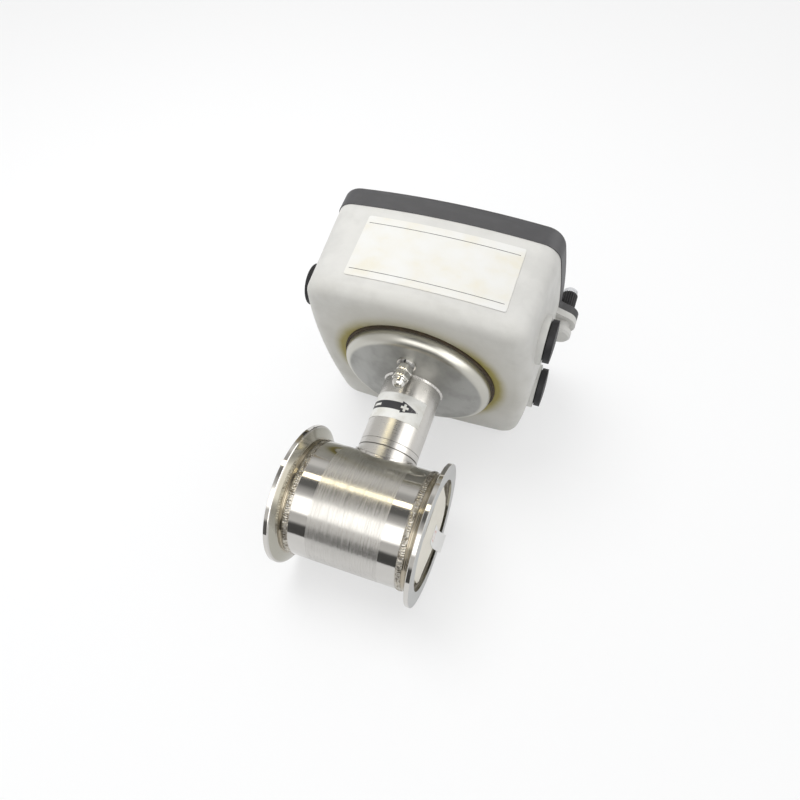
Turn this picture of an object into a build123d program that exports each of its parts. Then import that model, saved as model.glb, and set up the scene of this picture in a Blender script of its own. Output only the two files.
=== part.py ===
from build123d import *
import os
from math import cos, radians, sin, sqrt, tan

# Electromagnetic flow meter with a terminal box, in millimetres.
# Origin: where the pipe axis meets the neck axis. +X is the flow direction, +Z runs up the neck
# to the terminal box, and -Y is the labelled side.

# Flow tube and clamp flanges
FACE_TO_FACE = 91.0
SHELL_D = 75.0
FLANGE_RISE = 8.0
FLANGE_EDGE = 2.85
FLANGE_TAPER = 20.0
RIM_WIDTH = 10.0
RECESS_DEPTH = 3.0
SHELL_WALL = 2.0
BORE_D = 25.0
LINER_WALL = 5.0
HUB_LENGTH = 3.74
WEB_SETBACK = 2.5
WELD_WIDTH = 5.0
WELD_CROWN = 0.6
WELD_ROOT = 1.4
PORT_GASKET_WIDTH = 2.2
PORT_GASKET_THICKNESS = 1.0

# Bowed card in the outlet recess and the paper tab stuck to it
CARD_THICKNESS = 0.5
CARD_HALF_HEIGHT = 29.0
CARD_FAR_Y = 21.0
CARD_WAIST_Y = 14.0
CARD_CLEARANCE = 0.3
TAB_THICKNESS = 0.2
TAB_WIDTH = 12.0
TAB_STUCK_LENGTH = 12.0
TAB_START_Y = -4.0
TAB_CURL_RADIUS = 14.0
TAB_CURL_ANGLE = 50.0

# Magnet system and electrodes
YOKE_RADIAL_GAP = 0.6
YOKE_THICKNESS = 1.6
YOKE_LEAD_GAP = 0.6
SHOE_GAP = 0.5
SHOE_THICKNESS = 2.5
SHOE_HALF_ANGLE = 38.0
COIL_GAP = 0.4
COIL_BUILD = 4.6
COIL_YOKE_GAP = 1.5
ELECTRODE_D = 5.0
ELECTRODE_COLLAR_D = 8.0
ELECTRODE_COLLAR_HEIGHT = 2.0
ELECTRODE_REACH = 5.5

# Leads
LEAD_D = 2.6
LEAD_SPACING = 7.0
LEAD_NECK_GAP = 0.4
LEAD_BEND = 1.8

# Neck
NECK_D = 40.0
NECK_WALL = 2.0
NECK_LENGTH = 54.1
SOCKET_RISE = 7.2
SOCKET_GROOVE_DROP = 4.4
GROOVE_WIDTH = 0.6
GROOVE_DEPTH = 0.3
SPIGOT_DEPTH = 8.0
SPIGOT_WALL = 1.5
NECK_WELD_LEG = 1.3
PLATE_WELD_LEG = 1.0
GROMMET_HEIGHT = 5.0

# Flow-arrow sticker on the neck
ARROW_LABEL_RISE = 14.4
ARROW_LABEL_HEIGHT = 18.1
ARROW_LABEL_THICKNESS = 0.2
ARROW_LABEL_END_ANGLE = -38.0
ARROW_LABEL_SWEEP = 150.0

# Mounting plate, gasket and plate screws
PLATE_D = 104.0
PLATE_CROWN = 4.2
PLATE_RIM_HEIGHT = 8.0
PLATE_WALL = 3.0
PLATE_EDGE_RADIUS = 6.0
PLATE_GASKET_T = 1.4
PLATE_GASKET_LAP = 1.8
PLATE_GASKET_WIDTH = 7.0
SCREW_CIRCLE_D = 78.0
SCREW_D = 5.0
SCREW_HEAD_D = 8.6
SCREW_HEAD_HEIGHT = 3.0
SCREW_COUNT = 4
SCREW_BOSS_D = 10.0

# Earth terminal, M6, square to the plate's sloping face
STUD_D = 6.0
STUD_OFFSET = 11.9
STUD_ANGLE = -92.3
STUD_HEAD_D = 10.0
STUD_HEAD_HEIGHT = 1.8
STUD_SEAT_GAP = 0.05
WASHER_D = 12.6
WASHER_THICKNESS = 1.6
SPRING_WASHER_D = 11.0
SPRING_WASHER_GAP = 1.2
NUT_FLATS = 10.0
NUT_HEIGHT = 5.0
CAP_HEX_HEIGHT = 5.0
CAP_NUT_HEIGHT = 10.8
CAP_DOME_D = 8.4
HOLE_CLEARANCE = 0.2

# Terminal box
BOX_HALF_WIDTH = 79.0
BOX_HALF_DEPTH = 74.1
BOX_WIDTH_DRAFT = 3.0
BOX_DEPTH_DRAFT = 0.2
SIDE_BOW = 6.6
FRONT_BOW = 4.6
BOX_CORNER_RADIUS = 14.0
BOX_EDGE_RADIUS = 9.0
BOX_HEIGHT = 68.6
BOX_WALL = 3.2
BOX_BASE = 4.0
BASE_HOLE_D = 44.0
TONGUE_INSET = 1.7
TONGUE_HEIGHT = 2.5

# Lid
LID_HEIGHT = 16.2
LID_OVERHANG = 0.5
LID_TOP_RADIUS = 5.0
LID_ROOF = 3.0
LID_WALL = 5.6
CHANNEL_CLEARANCE = 0.2
LID_GASKET_T = 1.7
LID_RIB_THICKNESS = 2.0
LID_RIB_DEPTH = 5.0
LID_RIB_SPACING = 40.0
LID_RIB_COUNT = 3

# Cable entries and blanking plugs
ENTRY_D = 20.0
ENTRY_Y = 31.7
ENTRY_HEIGHT = 28.4
PAD_D = 32.0
PAD_SETBACK = 0.4
PLUG_HEAD_D = 28.0
PLUG_HEAD_HEIGHT = 5.0
PLUG_DOME = 0.8
PLUG_SHANK_LENGTH = 11.0
PLUG_WALL = 2.2
PLUG_CLEARANCE = 0.1
PLUG_SEAL_T = 0.8
PLUG_SEAL_D = 25.0

# Lid closures, one on each short side
CLOSURE_OFFSET = 4.6
TAB_TIP_R = 9.5
TAB_TAPER = 22.0
TAB_ROOT = 5.0
TAB_EDGE = 0.8
LUG_HEIGHT = 4.8
POST_D = 11.5
POST_HEIGHT = 5.5
FOOT_D = 16.4
FOOT_HEIGHT = 4.7
FOOT_EDGE = 1.3
EAR_HEIGHT = 6.4
KNOB_D = 11.3
KNOB_HEIGHT = 13.95
KNOB_LID_GAP = 0.25
KNOB_FLUTE = 0.8
KNOB_FLUTES = 20
CLOSURE_SCREW_D = 5.0
CLOSURE_TIP_D = 9.8
CLOSURE_TIP_HEIGHT = 4.25
CLOSURE_TIP_EDGE = 0.9
CLOSURE_HOLE_FLOOR = 2.0
CLOSURE_SCREW_END_GAP = 0.5

# Rating label
LABEL_WIDTH = 101.4
LABEL_HEIGHT = 46.0
LABEL_CENTRE_X = 3.2
LABEL_SEAM_DROP = 7.3
LABEL_CORNER = 1.5
LABEL_THICKNESS = 0.3
LABEL_ADHESIVE_T = 0.1

# Connection board and what stands on it
BOARD_WIDTH = 112.0
BOARD_DEPTH = 92.0
BOARD_THICKNESS = 1.6
BOARD_LIFT = 9.0
BOARD_HOLE_INSET = 7.0
STANDOFF_D = 9.0
BOARD_SCREW_D = 3.5
BOARD_SCREW_HEAD_D = 6.5
BOARD_SCREW_HEAD_HEIGHT = 2.4
BOARD_SCREW_BITE = 6.0
BLOCK_END = 1.5
BLOCK_DEPTH = 13.0
BLOCK_HEIGHT = 15.0
BLOCK_Y = 24.0
BLOCK_WAYS = 9
BLOCK_PITCH = 7.0
BLOCK_WIRE_HOLE = 4.0
BLOCK_SCREW_HOLE_D = 4.6
MODULE_SIZE = 22.0
MODULE_HEIGHT = 9.0
MODULE_X = 38.0

# Worked out from the sizes above
FACE_X = FACE_TO_FACE / 2
SHELL_R = SHELL_D / 2
SHELL_INNER_R = SHELL_R - SHELL_WALL
FLANGE_R = SHELL_R + FLANGE_RISE
RECESS_R = FLANGE_R - RIM_WIDTH
BORE_R = BORE_D / 2
LINER_R = BORE_R + LINER_WALL
FLOOR_X = FACE_X - RECESS_DEPTH
CONE_X = FACE_X - FLANGE_EDGE - (FLANGE_R - SHELL_R) * tan(radians(FLANGE_TAPER))
WELD_X = CONE_X - HUB_LENGTH
WEB_X = WELD_X + WEB_SETBACK
NECK_R = NECK_D / 2
NECK_INNER_R = NECK_R - NECK_WALL
SOCKET_TOP = SHELL_R + SOCKET_RISE
ARROW_LABEL_BOTTOM = SOCKET_TOP + ARROW_LABEL_RISE
LEAD_CIRCLE_R = NECK_INNER_R - SPIGOT_WALL - LEAD_D / 2 - LEAD_NECK_GAP
LEAD_X = sqrt(LEAD_CIRCLE_R**2 - (LEAD_SPACING / 2) ** 2)
YOKE_OUTER_R = SHELL_INNER_R - YOKE_RADIAL_GAP
YOKE_INNER_R = YOKE_OUTER_R - YOKE_THICKNESS
YOKE_HALF_WIDTH = LEAD_X - LEAD_D / 2 - YOKE_LEAD_GAP
SHOE_INNER_R = LINER_R + SHOE_GAP
SHOE_OUTER_R = SHOE_INNER_R + SHOE_THICKNESS
COIL_R = YOKE_HALF_WIDTH
COIL_START_Z = SHOE_OUTER_R + COIL_GAP
COIL_HEIGHT = sqrt(YOKE_INNER_R**2 - COIL_R**2) - COIL_YOKE_GAP - COIL_START_Z
POLE_CORE_R = COIL_R - COIL_BUILD - COIL_GAP
ELECTRODE_END_Y = LINER_R + ELECTRODE_REACH
LEAD_SIDE_Y = ELECTRODE_END_Y + LEAD_BEND + LEAD_D / 4
PLATE_R = PLATE_D / 2
PLATE_SLOPE = PLATE_CROWN / (PLATE_R - NECK_R)
PLATE_FACE_Z = SHELL_R + NECK_LENGTH
PLATE_INSIDE_Z = PLATE_FACE_Z + PLATE_WALL
PLATE_CORNER_Z = PLATE_FACE_Z + PLATE_CROWN
PLATE_SCREW_END_Z = PLATE_CORNER_Z + PLATE_WALL / 2
PLATE_TOP = PLATE_CORNER_Z + PLATE_RIM_HEIGHT
PLATE_GASKET_R = PLATE_R + PLATE_GASKET_LAP
BOX_BOTTOM = PLATE_TOP + PLATE_GASKET_T
BASE_TOP = BOX_BOTTOM + BOX_BASE
SEAM_Z = BOX_BOTTOM + BOX_HEIGHT
LID_TOP = SEAM_Z + LID_HEIGHT
BOARD_Z = BASE_TOP + BOARD_LIFT
BOARD_TOP = BOARD_Z + BOARD_THICKNESS
BLOCK_LENGTH = BLOCK_WAYS * BLOCK_PITCH + 2 * BLOCK_END
LABEL_CENTRE_Z = SEAM_Z - LABEL_SEAM_DROP - LABEL_HEIGHT / 2
PAD_X = BOX_HALF_WIDTH - PAD_SETBACK
ENTRY_Z = BOX_BOTTOM + ENTRY_HEIGHT
CLOSURE_X = BOX_HALF_WIDTH + CLOSURE_OFFSET
EAR_TOP = SEAM_Z + EAR_HEIGHT
KNOB_TOP = EAR_TOP + KNOB_HEIGHT
LUG_BOTTOM = SEAM_Z - LUG_HEIGHT
POST_BOTTOM = LUG_BOTTOM - POST_HEIGHT
FOOT_BOTTOM = POST_BOTTOM - FOOT_HEIGHT
CLOSURE_HOLE_END = FOOT_BOTTOM + CLOSURE_HOLE_FLOOR
CLOSURE_SCREW_END = CLOSURE_HOLE_END + CLOSURE_SCREW_END_GAP

os.makedirs("parts", exist_ok=True)


def save(builder, name):
    """Label a finished piece and write it as its own file."""
    builder.part.label = name
    export_step(builder.part, f"parts/{name}.step")
    box = builder.part.bounding_box()
    print(f"{name:24s} volume {builder.part.volume:10.1f}  size {box.size}")


# Sensor shell and flanges


def shell():
    """Tube between the two welds, open at the top under the neck."""
    with BuildPart() as sensor_shell:
        with BuildSketch(Plane.YZ.offset(-WELD_X)):
            Circle(SHELL_R)
            Circle(SHELL_INNER_R, mode=Mode.SUBTRACT)
        extrude(amount=2 * WELD_X)
        rims = sensor_shell.edges().filter_by(GeomType.CIRCLE).filter_by(
            lambda edge: abs(edge.radius - SHELL_R) < WELD_CROWN
        )
        chamfer(rims, WELD_ROOT)
        with BuildSketch(Plane.XY):
            Circle(NECK_INNER_R)
        extrude(amount=SHELL_R + WELD_CROWN, mode=Mode.SUBTRACT)
    save(sensor_shell, "sensor_shell")


def flange(side, name):
    """Clamp ferrule: tapered rim, hub, and a web that carries the measuring tube."""
    edge_x = FACE_X - FLANGE_EDGE
    outline = [
        (WELD_X, SHELL_INNER_R),
        (WELD_X, SHELL_R - WELD_ROOT),
        (WELD_X + WELD_ROOT, SHELL_R),
        (CONE_X, SHELL_R),
        (edge_x, FLANGE_R),
        (FACE_X, FLANGE_R),
        (FACE_X, RECESS_R),
        (FLOOR_X, RECESS_R),
        (FLOOR_X, LINER_R),
        (WEB_X, LINER_R),
        (WEB_X, SHELL_INNER_R),
    ]
    with BuildPart() as ferrule:
        with BuildSketch(Plane.XY):
            with BuildLine():
                Polyline([(side * x, r) for x, r in outline], close=True)
            make_face()
        revolve(axis=Axis.X)
        rim = ferrule.edges().filter_by(GeomType.CIRCLE).filter_by(
            lambda edge: abs(edge.radius - FLANGE_R) < GROOVE_DEPTH
        )
        chamfer(rim, GROOVE_DEPTH)
    save(ferrule, name)


def weld_bead(side, name):
    """Girth weld: a root that fills the groove, under a low crown."""
    half = WELD_WIDTH / 2
    with BuildPart() as bead:
        with BuildSketch(Plane.XY):
            with BuildLine():
                Polyline(
                    (side * (WELD_X - half), SHELL_R),
                    (side * (WELD_X - WELD_ROOT), SHELL_R),
                    (side * WELD_X, SHELL_R - WELD_ROOT),
                    (side * (WELD_X + WELD_ROOT), SHELL_R),
                    (side * (WELD_X + half), SHELL_R),
                )
                ThreePointArc(
                    (side * (WELD_X - half), SHELL_R),
                    (side * WELD_X, SHELL_R + WELD_CROWN),
                    (side * (WELD_X + half), SHELL_R),
                )
            make_face()
        revolve(axis=Axis.X)
    save(bead, name)


def port_gasket(side, name):
    """Flat ring against the wall of the flange recess."""
    with BuildPart() as ring:
        with BuildSketch(Plane.YZ.offset(side * FLOOR_X)):
            Circle(RECESS_R)
            Circle(RECESS_R - PORT_GASKET_WIDTH, mode=Mode.SUBTRACT)
        extrude(amount=side * PORT_GASKET_THICKNESS)
    save(ring, name)


def liner():
    """Ceramic measuring tube with a cross hole for the electrodes."""
    with BuildPart() as ceramic_tube:
        with BuildSketch(Plane.YZ.offset(-FLOOR_X)):
            Circle(LINER_R)
            Circle(BORE_R, mode=Mode.SUBTRACT)
        extrude(amount=2 * FLOOR_X)
        with BuildSketch(Plane.XZ):
            Circle(ELECTRODE_D / 2)
        extrude(amount=LINER_R + ELECTRODE_COLLAR_HEIGHT, both=True, mode=Mode.SUBTRACT)
    save(ceramic_tube, "ceramic_tube")


def electrode(side, name):
    """Pin through the tube wall with a collar outside it."""
    with BuildPart() as pin:
        with BuildSketch(Plane.XZ.offset(-side * BORE_R)):
            Circle(ELECTRODE_D / 2)
        extrude(amount=-side * (ELECTRODE_END_Y - BORE_R))
        with BuildSketch(Plane.XZ.offset(-side * LINER_R)):
            Circle(ELECTRODE_COLLAR_D / 2)
        extrude(amount=-side * ELECTRODE_COLLAR_HEIGHT)
        with BuildSketch(Plane.YZ.offset(-ELECTRODE_COLLAR_D)):
            Circle(BORE_R)
        extrude(amount=2 * ELECTRODE_COLLAR_D, mode=Mode.SUBTRACT)
    save(pin, name)


# Magnet system


def yoke():
    """Return yoke: a steel band round both coils."""
    with BuildPart() as return_yoke:
        with BuildSketch(Plane.YZ.offset(-YOKE_HALF_WIDTH)):
            Circle(YOKE_OUTER_R)
            Circle(YOKE_INNER_R, mode=Mode.SUBTRACT)
        extrude(amount=2 * YOKE_HALF_WIDTH)
    save(return_yoke, "return_yoke")


def pole_piece(side, name):
    """Round core with a curved shoe over the measuring tube."""
    spread = SHOE_OUTER_R * 2
    edge = (spread * sin(radians(SHOE_HALF_ANGLE)), side * spread * cos(radians(SHOE_HALF_ANGLE)))
    with BuildPart() as pole:
        with BuildSketch(Plane.XY):
            Circle(POLE_CORE_R)
        extrude(amount=side * YOKE_OUTER_R)
        with BuildSketch(Plane.YZ.offset(-YOKE_HALF_WIDTH)):
            Circle(YOKE_INNER_R)
        extrude(amount=2 * YOKE_HALF_WIDTH, mode=Mode.INTERSECT)
        with BuildSketch(Plane.YZ.offset(-YOKE_HALF_WIDTH)):
            with BuildLine():
                Polyline((0, 0), edge, (-edge[0], edge[1]), close=True)
            make_face()
            Circle(SHOE_OUTER_R, mode=Mode.INTERSECT)
        extrude(amount=2 * YOKE_HALF_WIDTH)
        with BuildSketch(Plane.YZ.offset(-YOKE_HALF_WIDTH)):
            Circle(SHOE_INNER_R)
        extrude(amount=2 * YOKE_HALF_WIDTH, mode=Mode.SUBTRACT)
    save(pole, name)


def coil(side, name):
    """Wound ring round the pole core."""
    with BuildPart() as winding:
        with BuildSketch(Plane.XY.offset(side * COIL_START_Z)):
            Circle(COIL_R)
            Circle(POLE_CORE_R + COIL_GAP, mode=Mode.SUBTRACT)
        extrude(amount=side * COIL_HEIGHT)
    save(winding, name)


def lead(points, name):
    """Insulated lead along straight runs with rounded bends."""
    with BuildPart() as wire:
        with BuildLine() as route:
            FilletPolyline(points, radius=LEAD_BEND)
        with BuildSketch(Plane(origin=route.line @ 0, z_dir=route.line % 0)):
            Circle(LEAD_D / 2)
        sweep()
    save(wire, name)


def leads():
    """Two electrode leads on the inlet side of the neck, two coil leads on the outlet side."""
    low_z = LEAD_SIDE_Y / 3
    high_z = SHELL_INNER_R - 3 * LEAD_D
    half = LEAD_SPACING / 2
    coil_z = COIL_START_Z + COIL_HEIGHT / 2
    for side, name in ((-1, "front_electrode_lead"), (1, "rear_electrode_lead")):
        lead(
            [
                (0, side * ELECTRODE_END_Y, 0),
                (0, side * LEAD_SIDE_Y, 0),
                (-LEAD_X, side * LEAD_SIDE_Y, 0),
                (-LEAD_X, side * LEAD_SIDE_Y, low_z),
                (-LEAD_X, side * half, high_z),
                (-LEAD_X, side * half, BOARD_Z),
            ],
            name,
        )
    lead(
        [(COIL_R, -half, coil_z), (LEAD_X, -half, coil_z), (LEAD_X, -half, BOARD_Z)],
        "upper_coil_lead",
    )
    lead(
        [
            (COIL_R, 0, -coil_z),
            (LEAD_X, 0, -coil_z),
            (LEAD_X, LEAD_SIDE_Y, -low_z),
            (LEAD_X, LEAD_SIDE_Y, low_z),
            (LEAD_X, half, high_z),
            (LEAD_X, half, BOARD_Z),
        ],
        "lower_coil_lead",
    )


# Neck


def neck():
    """Socket on the saddle, tube above it, their welds and the lead grommet."""
    spigot_bottom = SOCKET_TOP - SPIGOT_DEPTH
    with BuildPart() as neck_socket:
        with BuildSketch(Plane.XY):
            Circle(NECK_R)
            Circle(NECK_INNER_R, mode=Mode.SUBTRACT)
        extrude(amount=SOCKET_TOP)
        with BuildSketch(Plane.YZ.offset(-NECK_D)):
            Circle(SHELL_R)
        extrude(amount=2 * NECK_D, mode=Mode.SUBTRACT)
        with BuildSketch(Plane.XZ):
            with Locations((NECK_R, SOCKET_TOP - SOCKET_GROOVE_DROP)):
                Rectangle(2 * GROOVE_DEPTH, GROOVE_WIDTH)
        revolve(axis=Axis.Z, mode=Mode.SUBTRACT)
    save(neck_socket, "neck_socket")

    with BuildPart() as neck_tube:
        with BuildSketch(Plane.XZ):
            with BuildLine():
                Polyline(
                    (NECK_R, SOCKET_TOP),
                    (NECK_R, PLATE_INSIDE_Z),
                    (NECK_INNER_R, PLATE_INSIDE_Z),
                    (NECK_INNER_R, SOCKET_TOP + NECK_WALL),
                    (NECK_INNER_R - SPIGOT_WALL, SOCKET_TOP),
                    (NECK_INNER_R - SPIGOT_WALL, spigot_bottom),
                    (NECK_INNER_R, spigot_bottom),
                    (NECK_INNER_R, SOCKET_TOP),
                    close=True,
                )
            make_face()
        revolve(axis=Axis.Z)
    save(neck_tube, "neck_tube")

    with BuildPart() as neck_weld:
        with BuildSketch(Plane.XY):
            Circle(NECK_R + NECK_WELD_LEG)
            Circle(NECK_R, mode=Mode.SUBTRACT)
        extrude(amount=SOCKET_TOP)
        with BuildSketch(Plane.YZ.offset(-NECK_D)):
            Circle(SHELL_R + NECK_WELD_LEG)
        extrude(amount=2 * NECK_D, mode=Mode.INTERSECT)
        with BuildSketch(Plane.YZ.offset(-NECK_D)):
            Circle(SHELL_R)
        extrude(amount=2 * NECK_D, mode=Mode.SUBTRACT)
    save(neck_weld, "neck_weld")

    with BuildPart() as plate_weld:
        with BuildSketch(Plane.XZ):
            with BuildLine():
                Polyline(
                    (NECK_R, PLATE_FACE_Z),
                    (NECK_R + PLATE_WELD_LEG, PLATE_FACE_Z + PLATE_WELD_LEG * PLATE_SLOPE),
                    (NECK_R, PLATE_FACE_Z - PLATE_WELD_LEG),
                    close=True,
                )
            make_face()
        revolve(axis=Axis.Z)
    save(plate_weld, "plate_weld")

    with BuildPart() as lead_grommet:
        with BuildSketch(Plane.XY.offset(PLATE_INSIDE_Z - GROMMET_HEIGHT)):
            Circle(NECK_INNER_R)
            with GridLocations(2 * LEAD_X, LEAD_SPACING, 2, 2):
                Circle(LEAD_D / 2, mode=Mode.SUBTRACT)
        extrude(amount=GROMMET_HEIGHT)
    save(lead_grommet, "lead_grommet")

    start = ARROW_LABEL_END_ANGLE - ARROW_LABEL_SWEEP
    label_centre_z = ARROW_LABEL_BOTTOM + ARROW_LABEL_HEIGHT / 2
    wrap = Plane(origin=(0, 0, 0), x_dir=(cos(radians(start)), sin(radians(start)), 0),
                 z_dir=(sin(radians(start)), -cos(radians(start)), 0))
    with BuildPart() as flow_arrow_label:
        with BuildSketch(wrap):
            with Locations((NECK_R + ARROW_LABEL_THICKNESS / 2, label_centre_z)):
                Rectangle(ARROW_LABEL_THICKNESS, ARROW_LABEL_HEIGHT)
        revolve(axis=Axis.Z, revolution_arc=ARROW_LABEL_SWEEP)
    save(flow_arrow_label, "flow_arrow_label")


# Mounting plate and earth terminal


def across_stud(distance):
    """Plane across the earth stud's axis, at a distance out from the plate's sloping face."""
    angle = radians(STUD_ANGLE)
    foot_r = NECK_R + STUD_OFFSET
    foot_z = PLATE_FACE_Z + STUD_OFFSET * PLATE_SLOPE
    face = Plane(
        origin=(foot_r * cos(angle), foot_r * sin(angle), foot_z),
        x_dir=(-sin(angle), cos(angle), 0),
        z_dir=(PLATE_SLOPE * cos(angle), PLATE_SLOPE * sin(angle), -1),
    )
    return face.offset(distance)


def plate():
    """Coned dish with a rounded edge, screw bosses inside it and a hole for the earth stud."""
    inner_r = PLATE_R - PLATE_WALL
    inner_corner_z = PLATE_INSIDE_Z + (inner_r - NECK_R) * PLATE_SLOPE
    with BuildPart() as mounting_plate:
        with BuildSketch(Plane.XZ) as section:
            with BuildLine():
                Polyline(
                    (NECK_R, PLATE_FACE_Z),
                    (PLATE_R, PLATE_CORNER_Z),
                    (PLATE_R, PLATE_TOP),
                    (inner_r, PLATE_TOP),
                    (inner_r, inner_corner_z),
                    (NECK_R, PLATE_INSIDE_Z),
                    close=True,
                )
            make_face()
            outer_corner = section.vertices().group_by(Axis.X)[-1].sort_by(Axis.Y)[0]
            fillet(outer_corner, PLATE_EDGE_RADIUS)
        revolve(axis=Axis.Z)
        with BuildSketch(Plane.XY.offset(PLATE_CORNER_Z)):
            with PolarLocations(SCREW_CIRCLE_D / 2, SCREW_COUNT, 180 / SCREW_COUNT):
                Circle(SCREW_BOSS_D / 2)
        extrude(amount=BOX_BOTTOM - PLATE_CORNER_Z)
        with BuildSketch(Plane.XY.offset(BOX_BOTTOM)):
            with PolarLocations(SCREW_CIRCLE_D / 2, SCREW_COUNT, 180 / SCREW_COUNT):
                Circle(SCREW_D / 2)
        extrude(amount=PLATE_SCREW_END_Z - BOX_BOTTOM, mode=Mode.SUBTRACT)
        with BuildSketch(across_stud(PLATE_WALL)):
            Circle(STUD_D / 2)
        extrude(amount=-3 * PLATE_WALL, mode=Mode.SUBTRACT)
    save(mounting_plate, "mounting_plate")

    with BuildPart() as plate_gasket:
        with BuildSketch(Plane.XY.offset(PLATE_TOP)):
            Circle(PLATE_GASKET_R)
            Circle(PLATE_GASKET_R - PLATE_GASKET_WIDTH, mode=Mode.SUBTRACT)
        extrude(amount=PLATE_GASKET_T)
    save(plate_gasket, "plate_gasket")

    with BuildPart() as plate_screws:
        with BuildSketch(Plane.XY.offset(BASE_TOP)):
            with PolarLocations(SCREW_CIRCLE_D / 2, SCREW_COUNT, 180 / SCREW_COUNT):
                Circle(SCREW_HEAD_D / 2)
        extrude(amount=SCREW_HEAD_HEIGHT)
        with BuildSketch(Plane.XY.offset(BASE_TOP)):
            with PolarLocations(SCREW_CIRCLE_D / 2, SCREW_COUNT, 180 / SCREW_COUNT):
                Circle(SCREW_D / 2)
        extrude(amount=PLATE_SCREW_END_Z - BASE_TOP)
        with BuildSketch(Plane.XY.offset(BASE_TOP + SCREW_HEAD_HEIGHT)):
            with PolarLocations(SCREW_CIRCLE_D / 2, SCREW_COUNT, 180 / SCREW_COUNT):
                RegularPolygon(SCREW_D / 2, 6)
        extrude(amount=-SCREW_HEAD_HEIGHT / 2, mode=Mode.SUBTRACT)
    save(plate_screws, "plate_screws")


def earth_terminal():
    """Stud through the plate with two washers, a nut and a domed cap nut, hanging from the face."""
    head_seat = -(PLATE_WALL + STUD_SEAT_GAP)
    nut_start = 2 * WASHER_THICKNESS
    cap_start = nut_start + NUT_HEIGHT
    stud_end = cap_start + 2 * CAP_NUT_HEIGHT / 3
    with BuildPart() as earth_stud:
        with BuildSketch(across_stud(head_seat)):
            Circle(STUD_HEAD_D / 2)
        extrude(amount=-STUD_HEAD_HEIGHT)
        with BuildSketch(across_stud(head_seat)):
            Circle(STUD_D / 2)
        extrude(amount=stud_end - head_seat)
    save(earth_stud, "earth_stud")

    with BuildPart() as earth_washer:
        with BuildSketch(across_stud(0)):
            Circle(WASHER_D / 2)
            Circle(STUD_D / 2 + HOLE_CLEARANCE, mode=Mode.SUBTRACT)
        extrude(amount=WASHER_THICKNESS)
    save(earth_washer, "earth_washer")

    with BuildPart() as earth_spring_washer:
        with BuildSketch(across_stud(WASHER_THICKNESS)):
            Circle(SPRING_WASHER_D / 2)
            Circle(STUD_D / 2 + HOLE_CLEARANCE, mode=Mode.SUBTRACT)
            with Locations((0, SPRING_WASHER_D / 2)):
                Rectangle(SPRING_WASHER_GAP, SPRING_WASHER_D / 2, rotation=20, mode=Mode.SUBTRACT)
        extrude(amount=WASHER_THICKNESS)
    save(earth_spring_washer, "earth_spring_washer")

    with BuildPart() as earth_nut:
        with BuildSketch(across_stud(nut_start)):
            RegularPolygon(NUT_FLATS / 2, 6, major_radius=False)
            Circle(STUD_D / 2, mode=Mode.SUBTRACT)
        extrude(amount=NUT_HEIGHT)
    save(earth_nut, "earth_nut")

    with BuildPart() as earth_cap_nut:
        with BuildSketch(across_stud(cap_start)):
            RegularPolygon(NUT_FLATS / 2, 6, major_radius=False)
        extrude(amount=CAP_HEX_HEIGHT)
        with BuildSketch(across_stud(cap_start)):
            Circle(CAP_DOME_D / 2)
        extrude(amount=CAP_NUT_HEIGHT)
        dome_end = earth_cap_nut.faces().sort_by(Axis.Z)[0].edges()
        fillet(dome_end, CAP_DOME_D / 2 - GROOVE_DEPTH)
        with BuildSketch(across_stud(cap_start)):
            Circle(STUD_D / 2)
        extrude(amount=stud_end - cap_start, mode=Mode.SUBTRACT)
    save(earth_cap_nut, "earth_cap_nut")


# Terminal box and lid


def box_half_sizes(z):
    """Half width and half depth of the box wall at a height, with its draft."""
    drop = (SEAM_Z - z) / BOX_HEIGHT
    return BOX_HALF_WIDTH - drop * BOX_WIDTH_DRAFT, BOX_HALF_DEPTH - drop * BOX_DEPTH_DRAFT


def box_outline(z, inset=0.0, shape_z=None):
    """Sketch at height z of the wall outline there, or at shape_z, moved in by an inset."""
    wall_width, wall_depth = box_half_sizes(z if shape_z is None else shape_z)
    half_width = wall_width - inset
    half_depth = wall_depth - inset
    corner_x = half_width - SIDE_BOW
    corner_y = half_depth - FRONT_BOW
    with BuildSketch(Plane.XY.offset(z)) as outline:
        with BuildLine():
            ThreePointArc((-corner_x, -corner_y), (0, -half_depth), (corner_x, -corner_y))
            ThreePointArc((corner_x, -corner_y), (half_width, 0), (corner_x, corner_y))
            ThreePointArc((corner_x, corner_y), (0, half_depth), (-corner_x, corner_y))
            ThreePointArc((-corner_x, corner_y), (-half_width, 0), (-corner_x, -corner_y))
        make_face()
        fillet(outline.vertices(), BOX_CORNER_RADIUS - inset)
    return outline.sketch


def seam_band(z, outer_inset, inner_inset):
    """Sketch at height z of the band between two insets of the seam outline."""
    with BuildSketch(Plane.XY.offset(z)) as band:
        add(box_outline(0, outer_inset, SEAM_Z))
        add(box_outline(0, inner_inset, SEAM_Z), mode=Mode.SUBTRACT)
    return band.sketch


def closure_tab(side, z, inset=0.0):
    """Sketch of a rounded tab on a short side that widens into the wall, moved in by an inset."""
    taper = radians(TAB_TAPER)
    tip_r = TAB_TIP_R - inset
    touch_x = CLOSURE_X + tip_r * sin(taper)
    touch_y = tip_r * cos(taper)
    root_x = BOX_HALF_WIDTH - TAB_ROOT
    root_y = touch_y + (touch_x - root_x) * tan(taper)
    with BuildSketch(Plane.XY.offset(z)) as tab:
        with BuildLine():
            Polyline(
                (side * touch_x, touch_y),
                (side * root_x, root_y),
                (side * root_x, -root_y),
                (side * touch_x, -touch_y),
            )
            ThreePointArc(
                (side * touch_x, -touch_y), (side * (CLOSURE_X + tip_r), 0), (side * touch_x, touch_y)
            )
        make_face()
    return tab.sketch


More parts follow.
